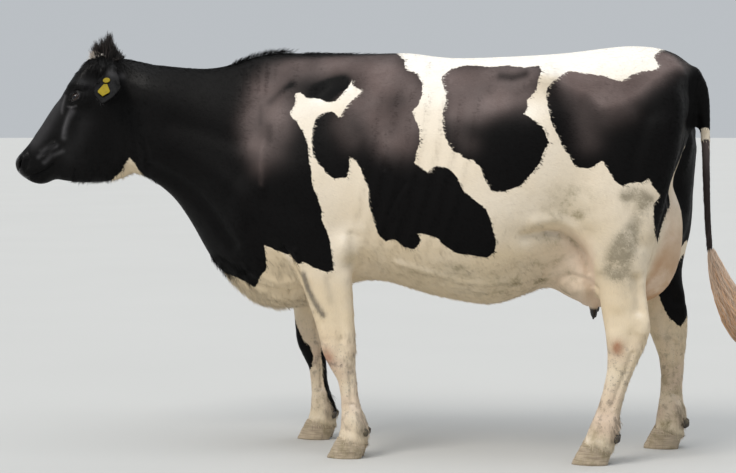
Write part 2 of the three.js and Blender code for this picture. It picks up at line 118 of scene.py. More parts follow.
class ColourSettings(bpy.types.PropertyGroup):
    """Colours of hair, skin and horn."""

    black: FloatVectorProperty(name="Black hair", description="Hair of the dark areas", subtype="COLOR",
                               default=(0.0036, 0.0033, 0.0033))
    # Painted sheen: the pale brown of glossy dark hair lit from above, partly sun bleaching.
    bleach_and_sheen: FloatVectorProperty(name="Bleached black", description="Dark hair faded by the sun",
                                  subtype="COLOR", default=(0.175, 0.136, 0.128))
    white: FloatVectorProperty(name="White hair", description="Hair of the light areas", subtype="COLOR",
                               default=(0.86, 0.81, 0.735))
    # Also painted as shade where light hair faces sideways or down.
    cream_and_shade: FloatVectorProperty(name="Creamy white", description="Light hair where it is yellowed",
                               subtype="COLOR", default=(0.74, 0.60, 0.41))
    # Also painted as shade in folds, under the belly and between the legs.
    soil: FloatVectorProperty(name="Soil", description="Dry soil in the hair", subtype="COLOR",
                              default=(0.225, 0.185, 0.10))
    pink: FloatVectorProperty(name="Udder skin", description="Bare skin of the udder", subtype="COLOR",
                              default=(0.74, 0.575, 0.45))
    rust: FloatVectorProperty(name="Rust stain", description="Stains on knee and hock",
                              subtype="COLOR", default=(0.33, 0.125, 0.045))
    horn: FloatVectorProperty(name="Horn", description="Horn of the claws", subtype="COLOR",
                              default=(0.47, 0.38, 0.27))
    tag: FloatVectorProperty(name="Tag", description="Plastic of the ear tags", subtype="COLOR",
                             default=(0.31, 0.23, 0.003))


class CoatSettings(bpy.types.PropertyGroup):
    """How thickly the hair stands."""

    body_tufts: IntProperty(name="Body tufts", description="Tufts in each piece of the short coat",
                            default=19000, min=100)
    long_locks: IntProperty(name="Long locks", description="Locks in each piece of the longer hair",
                            default=10000, min=10)
    poll_locks: IntProperty(name="Poll locks", description="Locks of the tuft on the poll",
                            default=2600, min=10)
    switch_locks: IntProperty(name="Switch locks", description="Locks of the tail's switch",
                              default=1700, min=10)
    seed: IntProperty(name="Seed", description="Start of the random numbers", default=11)


class StageSettings(bpy.types.PropertyGroup):
    """Camera, floor and light."""

    distance: FloatProperty(name="Distance", description="Camera to the middle of the cow",
                            default=7.0, unit="LENGTH")
    turn: FloatProperty(name="Turn", description="How far the camera stands toward the tail",
                        default=math.radians(9.0), subtype="ANGLE")
    height: FloatProperty(name="Height", description="Camera above the floor", default=1.226, unit="LENGTH")
    tilt: FloatProperty(name="Tilt", description="How far the camera looks down",
                        default=math.radians(3.67), subtype="ANGLE")
    lens: FloatProperty(name="Lens", description="Focal length on a 36 mm sensor", default=94.2)
    floor_colour: FloatVectorProperty(name="Floor", description="Colour of the floor", subtype="COLOR",
                                      default=(0.49, 0.49, 0.478))


SETTINGS = {
    "cow_skin": SkinSettings,
    "cow_colours": ColourSettings,
    "cow_coat": CoatSettings,
    "cow_stage": StageSettings,
}

# ------------------------------------------------------------------ mesh tools


def mesh_points(mesh):
    points = np.empty(len(mesh.vertices) * 3)
    mesh.vertices.foreach_get("co", points)
    return points.reshape(-1, 3)


def set_points(mesh, points):
    mesh.vertices.foreach_set("co", points.astype(np.float32).ravel())
    mesh.update()


def mesh_normals(mesh):
    normals = np.empty(len(mesh.vertices) * 3)
    mesh.vertex_normals.foreach_get("vector", normals)
    return normals.reshape(-1, 3)


def mesh_edges(mesh):
    edges = np.empty(len(mesh.edges) * 2, int)
    mesh.edges.foreach_get("vertices", edges)
    return edges.reshape(-1, 2)


def smooth_step(low, high, value):
    t = np.clip((value - low) / (high - low), 0, 1)
    return t * t * (3 - 2 * t)


def bell(value, middle, width):
    """1 at the middle, falling away on both sides of it over the width."""
    return np.exp(-((value - middle) / width) ** 2)


def unit(vectors):
    return vectors / np.maximum(np.linalg.norm(vectors, axis=-1, keepdims=True), 1e-9)


def neighbour_mean(values, edges):
    """Each vertex's mean over the vertices it shares an edge with."""
    count = len(values)
    first, second = edges.T
    degree = np.bincount(first, minlength=count) + np.bincount(second, minlength=count)
    total = np.stack([np.bincount(first, values[second, k], count)
                      + np.bincount(second, values[first, k], count)
                      for k in range(values.shape[1])], 1)
    return total / np.maximum(degree, 1)[:, None]


def relax(points, edges, weight, rounds):
    """Smooths points toward their neighbours, each by its own weight."""
    weight = np.broadcast_to(weight, len(points))[:, None] * 0.5
    for _ in range(rounds):
        points = points + (neighbour_mean(points, edges) - points) * weight
    return points


def keep_shape(points, edges, rounds):
    """Smooths small bumps away with little loss of size."""
    for _ in range(rounds):
        points = points + (neighbour_mean(points, edges) - points) * 0.6
        points = points - (neighbour_mean(points, edges) - points) * 0.62
    return points


def add_attribute(mesh, name, values):
    layer = mesh.attributes.new(name, "FLOAT", "POINT")
    layer.data.foreach_set("value", np.ascontiguousarray(values, np.float32))


def read_attribute(mesh, name):
    values = np.empty(len(mesh.vertices), np.float32)
    mesh.attributes[name].data.foreach_get("value", values)
    return values


def new_mesh(name, points, faces):
    mesh = bpy.data.meshes.new(name)
    mesh.from_pydata(points.tolist(), [], faces)
    mesh.update()
    mesh.shade_smooth()
    return mesh


def new_piece(name, mesh, material, replaced=()):
    """A finished piece in the scene: on the body, with its material, and the nodes it stands for hidden."""
    piece = bpy.data.objects.new(name, mesh)
    bpy.context.scene.collection.objects.link(piece)
    mesh.materials.clear()
    mesh.materials.append(material)
    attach(piece, "root")
    if replaced:
        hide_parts(*replaced)


def node_bmesh(name):
    """A solid of the frame as a closed bmesh with shared vertices."""
    mesh = bmesh.new()
    mesh.from_mesh(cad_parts[name].data)
    bmesh.ops.remove_doubles(mesh, verts=mesh.verts, dist=1e-6)
    bmesh.ops.recalc_face_normals(mesh, faces=mesh.faces)
    return mesh


def split_long_edges(mesh, longest, rounds):
    for _ in range(rounds):
        edges = [edge for edge in mesh.edges if edge.calc_length() > longest]
        if not edges:
            return
        bmesh.ops.subdivide_edges(mesh, edges=edges, cuts=1)
        bmesh.ops.triangulate(mesh, faces=mesh.faces)


def node_points(name, longest, fatten, rounds=4):
    """A solid's points and triangles, finely divided and moved outward by `fatten`."""
    mesh = node_bmesh(name)
    split_long_edges(mesh, longest, rounds)
    mesh.normal_update()
    points = np.array([vertex.co + vertex.normal * fatten for vertex in mesh.verts])
    faces = np.array([[vertex.index for vertex in face.verts] for face in mesh.faces])
    mesh.free()
    return points, faces


# ------------------------------------------------------------------ where legs, tail and head are

LEG_HEIGHTS = np.arange(90, 901, 45.0)


def leg_middles(node):
    """The leg's middle x at each of LEG_HEIGHTS, in the drawing."""
    points, _ = node_points(node, 0.03, 0.0, 3)
    x, _, z = drawn(points).T
    middles = []
    for height in LEG_HEIGHTS:
        ring = x[np.abs(z - height) < 28]
        middles.append((ring.min() + ring.max()) / 2)
    return np.array(middles)


LEFT_LEG = {pair: leg_middles(f"{pair}_left") for pair in ("foreleg", "hindleg")}
LEG_LEAN = {pair: leg_middles(f"{pair}_right") - left for pair, left in LEFT_LEG.items()}


def like_left(x, y, z):
    """The drawing's x of a point as it would be if the right legs stood as the left ones do."""
    fore = np.interp(z, LEG_HEIGHTS, LEG_LEAN["foreleg"]) * (1 - smooth_step(700, 980, z))
    hind = np.interp(z, LEG_HEIGHTS, LEG_LEAN["hindleg"]) * (1 - smooth_step(800, 1250, z))
    near_fore = (1 - smooth_step(-60, 60, x)) * smooth_step(-520, -420, x) * smooth_step(30, 90, y)
    near_hind = smooth_step(700, 860, x) * smooth_step(30, 90, y) * (x < 1235)
    return x - fore * near_fore - hind * near_hind


def leg_share(x, y, z):
    """1 on the legs below the body, falling to 0 up the forearm and thigh."""
    share = (1 - smooth_step(560, 760, z)) * (((x < 60) & (x > -420)) | (x > 760))
    return share * (1 - (1 - smooth_step(85, 125, np.abs(y))) * smooth_step(500, 530, z))


def is_tail(x, y):
    return (x > TAIL_FRONT) & (np.abs(y) < TAIL_SIDE)


def is_ear(x, y, z):
    return (np.abs(y) > 112) & (x < -790) & (x > -1010) & (z > 1190)


def head_share(points, inner):
    """1 on the head, falling to 0 from `inner` to 0.42 m away from its middle."""
    return 1 - smooth_step(inner, 0.42, np.linalg.norm(points - HEAD_CENTRE, axis=1))


# ------------------------------------------------------------------ form under the skin

# Strokes on both sides of the body, in side view: (points, radius, height), all mm.
# A positive height is a ridge, bone or muscle, and a negative one a groove or hollow.
BODY_STROKES = [
    ([(-262, 1350), (-300, 1170), (-350, 965)], 26, 5),           # spine of the shoulder blade
    ([(-125, 1330), (-112, 1150), (-78, 960), (-40, 850)], 48, -9),   # behind the shoulder
    ([(-318, 1385), (-372, 1180), (-425, 1010), (-455, 930)], 36, -8),  # in front of the shoulder
    ([(-225, 1010), (-150, 860)], 78, 10),                        # upper arm muscle
    ([(-35, 775), (-30, 740)], 34, 8),                            # elbow
    ([(-428, 905), (-418, 860)], 50, 7),                          # point of the shoulder
    ([(2, 790), (8, 750), (18, 690)], 22, -8),                    # fold behind the elbow
    ([(0, 812), (30, 720)], 20, 3),
    ([(230, 1385), (430, 1372), (600, 1368)], 20, 6),             # edge of the loin
    ([(380, 1322), (480, 1290), (590, 1262)], 62, -15),           # hollow of the flank
    ([(655, 1352), (662, 1340)], 40, 8),                          # hook bone
    ([(700, 1352), (880, 1330), (1080, 1372)], 26, 3),            # hook to pin
    ([(745, 1280), (770, 1260)], 62, -9),
    ([(880, 1245), (905, 1220)], 66, 8),                          # thurl
    ([(1000, 1290), (1035, 1240)], 46, -8),
    ([(1005, 1215), (965, 1050), (958, 900), (985, 770)], 26, -6),    # parting of the thigh muscles
    ([(1085, 1170), (1070, 960), (1020, 820)], 42, 6),
    ([(845, 1110), (820, 980)], 70, 6),
    ([(792, 895), (802, 860)], 50, 9),                            # stifle
    ([(630, 850), (700, 862), (765, 828), (815, 768), (846, 690)], 22, 8),   # fold of the flank
    ([(600, 800), (660, 812), (712, 808), (754, 776), (786, 730), (806, 668), (822, 580)], 20, -15),
    ([(665, 812), (712, 806), (750, 774), (780, 730), (800, 668)], 7, -9),
    ([(672, 622), (705, 645), (745, 660), (790, 648), (828, 612)], 12, -8),   # front udder
    ([(725, 605), (785, 596)], 36, 9),
    ([(655, 700), (700, 716), (745, 700)], 24, 5),
    ([(560, 690), (600, 650), (640, 622)], 16, -4),
    ([(-395, 606), (-330, 587), (-270, 579), (-215, 590)], 10, -9),   # folds of the brisket
    ([(-385, 636), (-300, 616), (-225, 626)], 15, 6),
    ([(-380, 572), (-300, 556), (-250, 556)], 11, 5),
    ([(-455, 640), (-400, 560), (-330, 534)], 9, -4),
    ([(-268, 748), (-240, 706), (-214, 646), (-204, 600)], 8, -9),   # front of the forearm
    ([(-222, 740), (-198, 665), (-184, 600), (-160, 530)], 10, 5),
    ([(-30, 800), (-22, 750), (-30, 690)], 16, -6),               # behind the elbow
    ([(10, 790), (-2, 720)], 24, 3),
    ([(560, 806), (640, 790)], 40, -5),
    ([(140, 700), (215, 676), (290, 660), (360, 640), (430, 628), (500, 634), (560, 634), (640, 660)], 13, 7),
    ([(300, 620), (370, 612), (450, 598)], 9, 4),                 # milk vein and its branch
    ([(-600, 690), (-545, 640), (-460, 585), (-360, 566), (-270, 570)], 13, -6),  # brisket folds
    ([(-520, 690), (-440, 640), (-345, 618)], 14, -5),
    ([(-480, 600), (-400, 560), (-300, 545)], 14, 4),
    ([(-800, 1030), (-700, 985), (-610, 925), (-530, 840), (-470, 750)], 24, -10),  # jugular groove
    ([(-830, 1130), (-700, 1095), (-560, 1020), (-450, 945)], 46, 7),
    ([(-800, 1300), (-640, 1270), (-480, 1240)], 60, 5),          # crest muscle
    ([(-700, 1190), (-560, 1150), (-430, 1110)], 34, -4),
    ([(-862, 1230), (-848, 1130), (-842, 1040)], 14, -5),         # behind the jaw
    ([(-820, 1180), (-800, 1080)], 10, -2.5),
    ([(-455, 1372), (-446, 1280)], 8, -3),                        # neck wrinkles
    ([(-420, 1390), (-412, 1290)], 8, -3),
    ([(-386, 1400), (-378, 1300)], 8, -3),
    ([(-352, 1404), (-348, 1320)], 8, -2.5),
    ([(78, 1150), (84, 1090), (102, 1035)], 9, -4),               # crease on the ribs
    ([(96, 1145), (102, 1085), (122, 1035)], 9, 3),
    ([(182, 985), (142, 924), (116, 871)], 8, -2.5),
    ([(-157, 1296), (-115, 1322), (-55, 1334)], 26, -8),          # hollow behind the blade's top
    ([(480, 1350), (535, 1345), (590, 1360)], 17, -5),            # under the loin's edge
    ([(452, 1320), (540, 1305), (600, 1330)], 20, 3),
    ([(-345, 1100), (-350, 1020), (-345, 940)], 16, 4),
]
RIBS, FIRST_RIB, RIB_SPACING = 7, 70, 58
for number in range(RIBS):
    top = FIRST_RIB + RIB_SPACING * number
    BODY_STROKES.append(([(top, 1290), (top - 22, 1100), (top - 70, 900), (top - 120, 760)], 15, 2.2))

# Strokes on the hindquarters, seen from behind: points are (distance from the middle, height).
REAR_STROKES = [
    ([(100, 1262), (112, 1228)], 26, 9),                          # pin bone
    ([(46, 1330), (52, 1250), (44, 1190)], 22, -9),               # hollow beside the tail
    ([(56, 1130), (70, 1000), (88, 880), (104, 800)], 15, -9),    # thigh's inner edge
    ([(96, 1130), (112, 1000), (126, 880)], 24, 6),
    ([(168, 1130), (176, 980), (166, 840), (140, 700)], 22, -7),  # between the ham's muscles
    ([(0, 960), (0, 860), (0, 640)], 12, -7),                     # middle of the udder
    ([(0, 1190), (0, 1110)], 9, 5),
    ([(50, 900), (58, 760)], 12, 2.5),
]

# Legs, drawn on the left ones: bones, tendons and the hollows between them.
LEG_STROKES = [
    ([(-170, 640), (-140, 520), (-128, 440)], 20, 4),             # forearm
    ([(-100, 640), (-70, 540), (-55, 430)], 18, -4),
    ([(-44, 640), (-34, 520), (-30, 430)], 20, 4),
    ([(-122, 395), (-112, 350)], 20, 5),                          # knee
    ([(-22, 398), (-20, 380)], 15, 5),
    ([(-62, 420), (-60, 380)], 14, -3),
    ([(-30, 320), (-27, 250), (-24, 195)], 8, -5),                # cannon groove
    ([(-8, 160), (-2, 120)], 18, 4),                              # fetlock
    ([(-52, 150), (-46, 125)], 18, 3),
    ([(-30, 108), (-28, 96)], 16, -3),
    ([(975, 650), (985, 590), (985, 545)], 20, -13),              # hollow before the hamstring
    ([(1000, 640), (1008, 560), (1014, 505)], 11, 4),             # hamstring
    ([(905, 660), (912, 560)], 26, 4),
    ([(895, 450), (905, 425)], 28, 5),                            # hock
    ([(1008, 488), (1002, 470)], 18, 4),
    ([(958, 455), (950, 420)], 18, -4),
    ([(962, 395), (940, 330), (912, 260), (894, 205)], 9, -5),    # cannon groove
    ([(900, 160), (898, 125)], 18, 4),                            # fetlock
    ([(838, 158), (836, 130)], 18, 3),
    ([(860, 112), (858, 98)], 16, -3),
]

# The head, in side view.
HEAD_STROKES = [
    ([(-1106, 1299), (-1113, 1268), (-1122, 1233)], 7, 3.5),      # front rim of the orbit
    ([(-1082, 1240), (-1094, 1215), (-1107, 1186), (-1117, 1149)], 9, 6),   # ridge below the eye
    ([(-1122, 1210), (-1150, 1165), (-1160, 1135)], 20, -6),      # hollow of the face
    ([(-1060, 1190), (-1066, 1120), (-1060, 1060)], 20, -6),
    ([(-985, 1140), (-1000, 1060)], 62, 9),                       # cheek
    ([(-1005, 1352), (-985, 1335), (-975, 1300)], 24, -8),        # temple
    ([(-1096, 1322), (-1066, 1334), (-1036, 1322)], 14, 5),       # brow
    ([(-1120, 1305), (-1175, 1228), (-1240, 1140)], 13, 3),       # edge of the nose bone
    ([(-1290, 978), (-1262, 986), (-1225, 1000), (-1192, 1018), (-1172, 1036)], 5.5, -6),  # mouth
    ([(-1262, 1012), (-1225, 1024)], 16, 3),
    ([(-1248, 966), (-1222, 970)], 16, 3),                        # lower lip
    ([(-1162, 1114), (-1190, 1096), (-1214, 1080)], 8, 3.4),      # folds over the mouth
    ([(-1138, 1102), (-1174, 1080), (-1208, 1058)], 8, 3.4),
    ([(-1152, 1106), (-1180, 1089), (-1204, 1073)], 5, -2.6),
    ([(-1140, 1086), (-1170, 1068), (-1196, 1050)], 8, -2.6),
    ([(-1172, 1126), (-1196, 1111), (-1218, 1095)], 9, -2.4),
    ([(-1140, 990), (-1060, 982), (-980, 992)], 16, 4),           # edge of the jaw
    ([(-1130, 1010), (-1050, 1010), (-960, 1030)], 16, -3),
    ([(-905, 1200), (-900, 1120), (-915, 1040)], 22, 5),          # angle of the jaw
    ([(-1100, 1250), (-1108, 1228)], 3.5, -3),                    # tear groove
]

# How far the skin is raised along the crest, by x, and the hams are moved back, by z:
# (places, amounts), all mm.
CREST_RISE = ([-960, -820, -450, -300, -80, 150, 320], [0, 8, 13, 12, 8, 5, 0])
HAM_PUSH = ([440, 570, 660, 760, 880, 1000, 1100, 1200, 1290], [0, 8, 6, 12, 24, 27, 30, 16, 0])

# Painted pale brown sheen on the dark hair, partly sun bleaching, in side view: (points, radius, amount).
SHEEN = [
    ([(-382, 1310), (-402, 1200), (-390, 1130)], 46, 0.55),
    ([(-384, 1100), (-362, 1040)], 38, 0.3),
    ([(-350, 1127), (-352, 1050), (-348, 975)], 8, 0.16),
    # Negative amounts paint shade, keeping streaks and hollows black.
    ([(-335, 1264), (-300, 1300), (-262, 1328)], 14, -0.34),
    ([(-372, 1250), (-366, 1190)], 9, -0.16),
    ([(-330, 1180), (-325, 1130)], 12, -0.2),
    ([(-310, 1225), (-300, 1160), (-318, 1100)], 56, 0.42),
    ([(-60, 1190), (-25, 1140)], 44, 0.3),
    ([(-300, 1392), (-318, 1320), (-290, 1230)], 62, 0.52),
    ([(-220, 1395), (-160, 1392)], 46, 0.5),
    ([(-100, 1402), (0, 1392), (95, 1392)], 52, 0.7),
    ([(60, 1330), (165, 1330), (205, 1280), (198, 1200), (178, 1130)], 56, 0.68),
    ([(-34, 1272), (46, 1205), (104, 1125)], 46, 0.62),
    ([(60, 1280), (110, 1220)], 50, 0.4),
    ([(-150, 1300), (-115, 1322), (-72, 1334)], 24, -1.1),
    ([(320, 1355), (460, 1362), (600, 1362)], 44, 0.72),
    ([(330, 1290), (470, 1285), (590, 1285)], 50, 0.62),
    ([(345, 1225), (430, 1225), (500, 1262)], 40, 0.55),
    ([(500, 1354), (545, 1350), (588, 1361)], 17, -0.6),
    ([(360, 1150), (400, 1120)], 40, 0.18),
    ([(738, 1362), (831, 1335), (870, 1290), (957, 1326), (1051, 1400)], 42, 1.5),
    ([(800, 1330), (860, 1300), (930, 1330)], 44, 0.5),
    ([(745, 1310), (790, 1230), (810, 1130)], 44, 0.25),
    ([(870, 1215), (930, 1240)], 44, 0.25),
    ([(1064, 1409), (1120, 1392)], 22, 0.6),
    # Painted grey highlights on the head: nose side, ridge below the eye, orbit's rim, lower lid, mouth
    # folds, cheek, poll.
    ([(-1144, 1255), (-1186, 1193), (-1236, 1126)], 30, 0.24),
    ([(-1081, 1232), (-1099, 1205), (-1112, 1172), (-1119, 1138)], 10, 0.52),
    ([(-1110, 1288), (-1119, 1256), (-1124, 1228)], 6, 0.34),
    ([(-1100, 1250), (-1082, 1246), (-1064, 1252)], 4, 0.32),
    ([(-1224, 1064), (-1194, 1092), (-1152, 1106)], 8, 0.26),
    ([(-1204, 1044), (-1176, 1070), (-1126, 1087)], 8, 0.30),
    ([(-1035, 1190), (-1075, 1120), (-1100, 1070)], 34, 0.07),
    ([(-1030, 1340), (-1000, 1300)], 30, 0.06),
    ([(-935, 1372), (-905, 1362)], 12, 0.22),
]

# Painted shade and dirt in the folds, in the same way.
CREASE_SHADE = [
    ([(648, 806), (700, 812), (748, 786), (786, 736), (806, 672)], 11, 0.75),
    ([(690, 760), (740, 720), (765, 660)], 34, 0.35),
    ([(-30, 800), (-22, 750), (-30, 690)], 12, 0.5),
    ([(700, 600), (740, 585), (772, 600)], 10, 0.8),
]

# Grey skin that shows through the hair of the left thigh.
GREY_PATCH = [
    ([(935, 775), (915, 735), (906, 690)], 48, 0.95),
    ([(960, 830), (975, 860), (985, 900)], 30, 0.5),
    ([(935, 945), (975, 955), (1010, 930)], 26, 0.75),
    ([(965, 640), (940, 600)], 30, 0.22),
]

# Grey streaks of thin hair on the left forearm.
GREY_STREAKS = [
    ([(-194, 656), (-177, 602), (-150, 550), (-124, 512)], 10, 1.25),
    ([(-112, 640), (-96, 560)], 12, 0.25),
]


def stroke_distance(x, z, line):
    """Distance in side view from each point to a line of points."""
    nearest = np.full(len(x), np.inf)
    for (ax, az), (bx, bz) in zip(line, line[1:]):
        dx, dz = bx - ax, bz - az
        t = np.clip(((x - ax) * dx + (z - az) * dz) / (dx * dx + dz * dz), 0, 1)
        nearest = np.minimum(nearest, np.hypot(x - ax - t * dx, z - az - t * dz))
    return nearest


def stroke_heights(x, z, strokes):
    """Summed height of the strokes at each point, mm."""
    height = np.zeros(len(x))
    for line, radius, rise in strokes:
        xs, zs = [p[0] for p in line], [p[1] for p in line]
        reach = 2.6 * radius
        close = np.flatnonzero((x > min(xs) - reach) & (x < max(xs) + reach)
                               & (z > min(zs) - reach) & (z < max(zs) + reach))
        if len(close):
            distance = stroke_distance(x[close], z[close], line)
            height[close] += rise * bell(distance, 0, radius)
    return height


NOSTRIL = (-1299, 60, 1034)
EYE_OPENING = (17.5, 11.5)   # half width and half height between the lids, mm
EYE_TILT = math.radians(38)  # the slit's slope, from its front corner up to its back one
LID_DOME = 16.0              # radius of the lids' round part, mm


def eye_radius():
    low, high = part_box("eye_left")
    return (high.z - low.z) / 2


def eye_frame(side):
    """The eye's middle and its axes: outward, forward along the slit, and across it."""
    centre = np.array(box_centre("eye_left" if side < 0 else "eye_right"))
    outward = unit(np.array([-0.30, side * 0.95, 0.12]))
    forward = np.array([-math.cos(EYE_TILT), 0, -math.sin(EYE_TILT)])
    forward = unit(forward - outward * (forward @ outward))
    return centre, outward, forward, np.cross(forward, outward) * side


def eye_level(points, side):
    """How far each point is from the middle of an eye's opening: 1 on its edge."""
    centre, outward, forward, across = eye_frame(side)
    offset = points - centre
    u, v, w = offset @ forward / MM, offset @ across / MM, offset @ outward / MM
    width, height = EYE_OPENING
    height = height * (1 - 0.30 * np.clip(u / width, -1, 1))
    level = np.sqrt((u / width) ** 2 + (v / height) ** 2)
    return u, v, w, np.where(w > -30, level, 99.0)


def shape_lids(points):
    """Domes the skin over each eye, opens it, and leaves a rim and folds round the opening."""
    radius = eye_radius() / MM
    for side in (-1, 1):
        u, v, w, level = eye_level(points, side)
        outward = eye_frame(side)[1]
        flat = np.hypot(u, v)
        beyond = np.maximum(flat - LID_DOME, 0)
        ball = np.sqrt(np.maximum((radius + 2.2) ** 2 - np.minimum(flat, LID_DOME) ** 2, 0))
        cover = ball - 0.86 * beyond + 0.004 * beyond ** 2
        raised = (w + cover + np.sqrt((w - cover) ** 2 + 9)) / 2
        near = (flat < 64) & (level < 50)
        new = w + (raised - w) * near * (1 - smooth_step(34, 62, flat))
        opening = near * (1 - smooth_step(0.88, 1.04, level)) * (flat < 24)
        inner = np.sqrt(np.maximum(radius ** 2 - np.minimum(flat, 20) ** 2, 0)) - 7
        new = new * (1 - opening) + inner * opening
        rim = near * bell(level, 1.14, 0.11) * 0.9
        upper = near * bell(level, 1.75, 0.12) * 2.4 * smooth_step(2, -8, v)
        lower = near * bell(level, 1.62, 0.12) * 1.5 * smooth_step(-2, 8, v)
        second = near * bell(level, 2.25, 0.16) * 1.3 * smooth_step(-2, 8, v)
        points = points + np.outer((new - w + rim - upper - lower - second) * MM, outward)
    return points


def nostril_level(points, side):
    """How far each point is from the middle of a nostril, 1 on its edge, and how far behind it."""
    x, y, z = drawn(points).T
    dx, dy, dz = x - NOSTRIL[0], y * side - NOSTRIL[1], z - NOSTRIL[2]
    across = dx * 0.78 + dy * 0.62           # back round the side of the nose
    near = bell(dx * -0.62 + dy * 0.78, 0, 34)
    bend = across - 8 * np.clip(dz / 22, -1, 1) ** 2 * np.sign(dz)
    return np.sqrt((bend / 12) ** 2 + (dz / 23) ** 2), across, near


def shape_muzzle(points, normals):
    """Nostrils with a raised wing, and the groove down the middle of the lip."""
    x, y, z = drawn(points).T
    for side in (-1, 1):
        outward = unit(np.array([-0.62, side * 0.78, 0.05]))
        level, across, near = nostril_level(points, side)
        hole = 24 * (1 - smooth_step(0.1, 1.05, level)) * near
        wing = 4.5 * bell(level, 1.55, 0.42) * smooth_step(-6, 8, across) * near
        rim = 2.5 * bell(level, 1.4, 0.35) * near
        groove = 3.5 * bell(level, 2.5, 0.4) * smooth_step(0, 12, across) * near
        points = points + np.outer((wing + rim - hole - groove) * MM, outward)
    middle = bell(y, 0, 4) * smooth_step(-1285, -1315, x) * (1 - smooth_step(1030, 1070, z))
    return points - normals * (middle * 0.004)[:, None]


# ------------------------------------------------------------------ markings

# Outlines in side view, mm. Black areas are joined, then the white ones are cut out.
FOREHAND_LEFT = [
    (105, 1700), (105, 1443), (147, 1414), (157, 1381), (202, 1363), (224, 1331), (228, 1285),
    (213, 1250), (196, 1229), (212, 1195), (226, 1171), (228, 1126), (216, 1081), (213, 1050),
    (239, 1033), (267, 1019), (270, 1037), (288, 1044), (329, 1037), (355, 1017), (373, 982),
    (386, 955), (421, 931), (463, 894), (479, 852), (495, 789), (490, 747), (458, 725), (411, 735),
    (357, 740), (314, 766), (289, 796), (252, 804), (218, 814), (233, 782), (204, 749), (166, 762),
    (138, 783), (104, 780), (-85, 671), (-107, 666), (-160, 683), (-193, 704), (-213, 689),
    (-243, 724), (-291, 736), (-343, 756), (-339, 705), (-343, 668), (-370, 635), (-395, 597),
    (-426, 612), (-471, 629), (-516, 638), (-540, 640), (-620, 560), (-1600, 560), (-1600, 1700),
]
SHOULDER_MARK_LEFT = [
    (-85, 671), (-88, 719), (-98, 779), (-109, 814), (-127, 849), (-126, 892), (-139, 924),
    (-154, 959), (-163, 994), (-162, 1026), (-172, 1054), (-181, 1110), (-197, 1152), (-228, 1196),
    (-258, 1222), (-237, 1262), (-247, 1306), (-236, 1292), (-222, 1300), (-202, 1280), (-158, 1278),
    (-123, 1263), (-92, 1268), (-66, 1293), (-45, 1320), (-37, 1344), (-30, 1322), (8, 1304),
    (-18, 1279), (-44, 1254), (-56, 1233), (-68, 1200), (-82, 1222), (-103, 1233), (-136, 1226),
    (-158, 1206), (-166, 1170), (-168, 1124), (-158, 1078), (-140, 1052), (-110, 1015), (-83, 995),
    (-37, 999), (-26, 1030),
    (-25, 1072), (-4, 1060), (15, 1034), (29, 999), (46, 968), (46, 916), (57, 866), (79, 795),
    (104, 778), (150, 500), (-85, 500),
]
FLANK_PATCH_LEFT = [
    (289, 1352), (314, 1375), (357, 1391), (401, 1394), (459, 1387), (520, 1392), (579, 1384),
    (631, 1390), (645, 1371), (634, 1341), (627, 1302), (596, 1271), (598, 1240), (585, 1223),
    (620, 1202), (654, 1175), (675, 1127), (652, 1083), (648, 1062), (613, 1014), (583, 980),
    (523, 956), (479, 961), (457, 1000), (445, 1034), (417, 1065), (391, 1070), (368, 1087),
    (345, 1095), (318, 1140), (307, 1178), (305, 1226), (314, 1268), (313, 1292), (298, 1324),
]
RUMP_PATCH_LEFT = [
    (663, 1308), (682, 1332), (733, 1371), (796, 1362), (839, 1356), (878, 1345), (916, 1332),
    (949, 1356), (982, 1367), (1029, 1374), (1044, 1386), (1029, 1411), (1026, 1428), (1050, 1446),
    (1060, 1700), (1500, 1700), (1500, 1000), (1112, 985), (1080, 905), (1044, 767), (1036, 810),
    (1029, 870), (1032, 912), (1052, 935), (1034, 968), (1013, 1002), (987, 988), (954, 988),
    (925, 978), (901, 991),
    (883, 1021), (867, 1048), (855, 1062), (829, 1045), (805, 1034), (762, 1045), (738, 1088),
    (719, 1112), (705, 1151), (685, 1185), (670, 1241), (662, 1279),
]
FOREHAND_RIGHT = [
    (105, 1700), (105, 1443), (70, 1408), (52, 1350), (8, 1310), (-22, 1262), (-38, 1205), (-4, 1160),
    (22, 1120), (14, 1066), (46, 1010), (22, 960), (-30, 940), (-64, 892), (-46, 838), (-92, 800),
    (-118, 752), (-180, 736), (-236, 700), (-300, 690), (-342, 640), (-400, 604), (-470, 616),
    (-540, 640), (-620, 560), (-1600, 560), (-1600, 1700),
]
SADDLE_PATCH_RIGHT = [
    (312, 1322), (352, 1362), (420, 1384), (505, 1392), (574, 1376), (612, 1336), (640, 1290),
    (618, 1236), (636, 1170), (668, 1118), (640, 1056), (604, 1010), (600, 960), (548, 922),
    (500, 930), (450, 880), (380, 862), (330, 884), (270, 870), (214, 906), (196, 968), (160, 1020),
    (176, 1082), (220, 1120), (216, 1180), (250, 1226), (262, 1286),
]
RUMP_PATCH_RIGHT = [
    (752, 1300), (800, 1342), (862, 1350), (922, 1322), (968, 1338), (1016, 1372), (1044, 1386),
    (1029, 1411), (1026, 1428), (1050, 1446), (1060, 1700), (1500, 1700), (1500, 800), (1180, 820),
    (1150, 900), (1120, 980), (1084, 1010), (1040, 1050), (990, 1046), (950, 1088), (902, 1100),
    (866, 1150), (812, 1160), (776, 1206), (758, 1256),
]
THIGH_STREAK_RIGHT = [
    (1500, 1130), (1040, 1120), (1062, 1040), (1052, 985), (1078, 930), (1070, 880), (1098, 835),
    (1094, 785), (1122, 742), (1500, 722),
]
HOCK_PATCH_RIGHT = [
    (1052, 640), (1090, 668), (1128, 690), (1250, 690), (1250, 470), (1150, 462), (1128, 448),
    (1104, 472), (1084, 492), (1062, 530), (1044, 580),
]
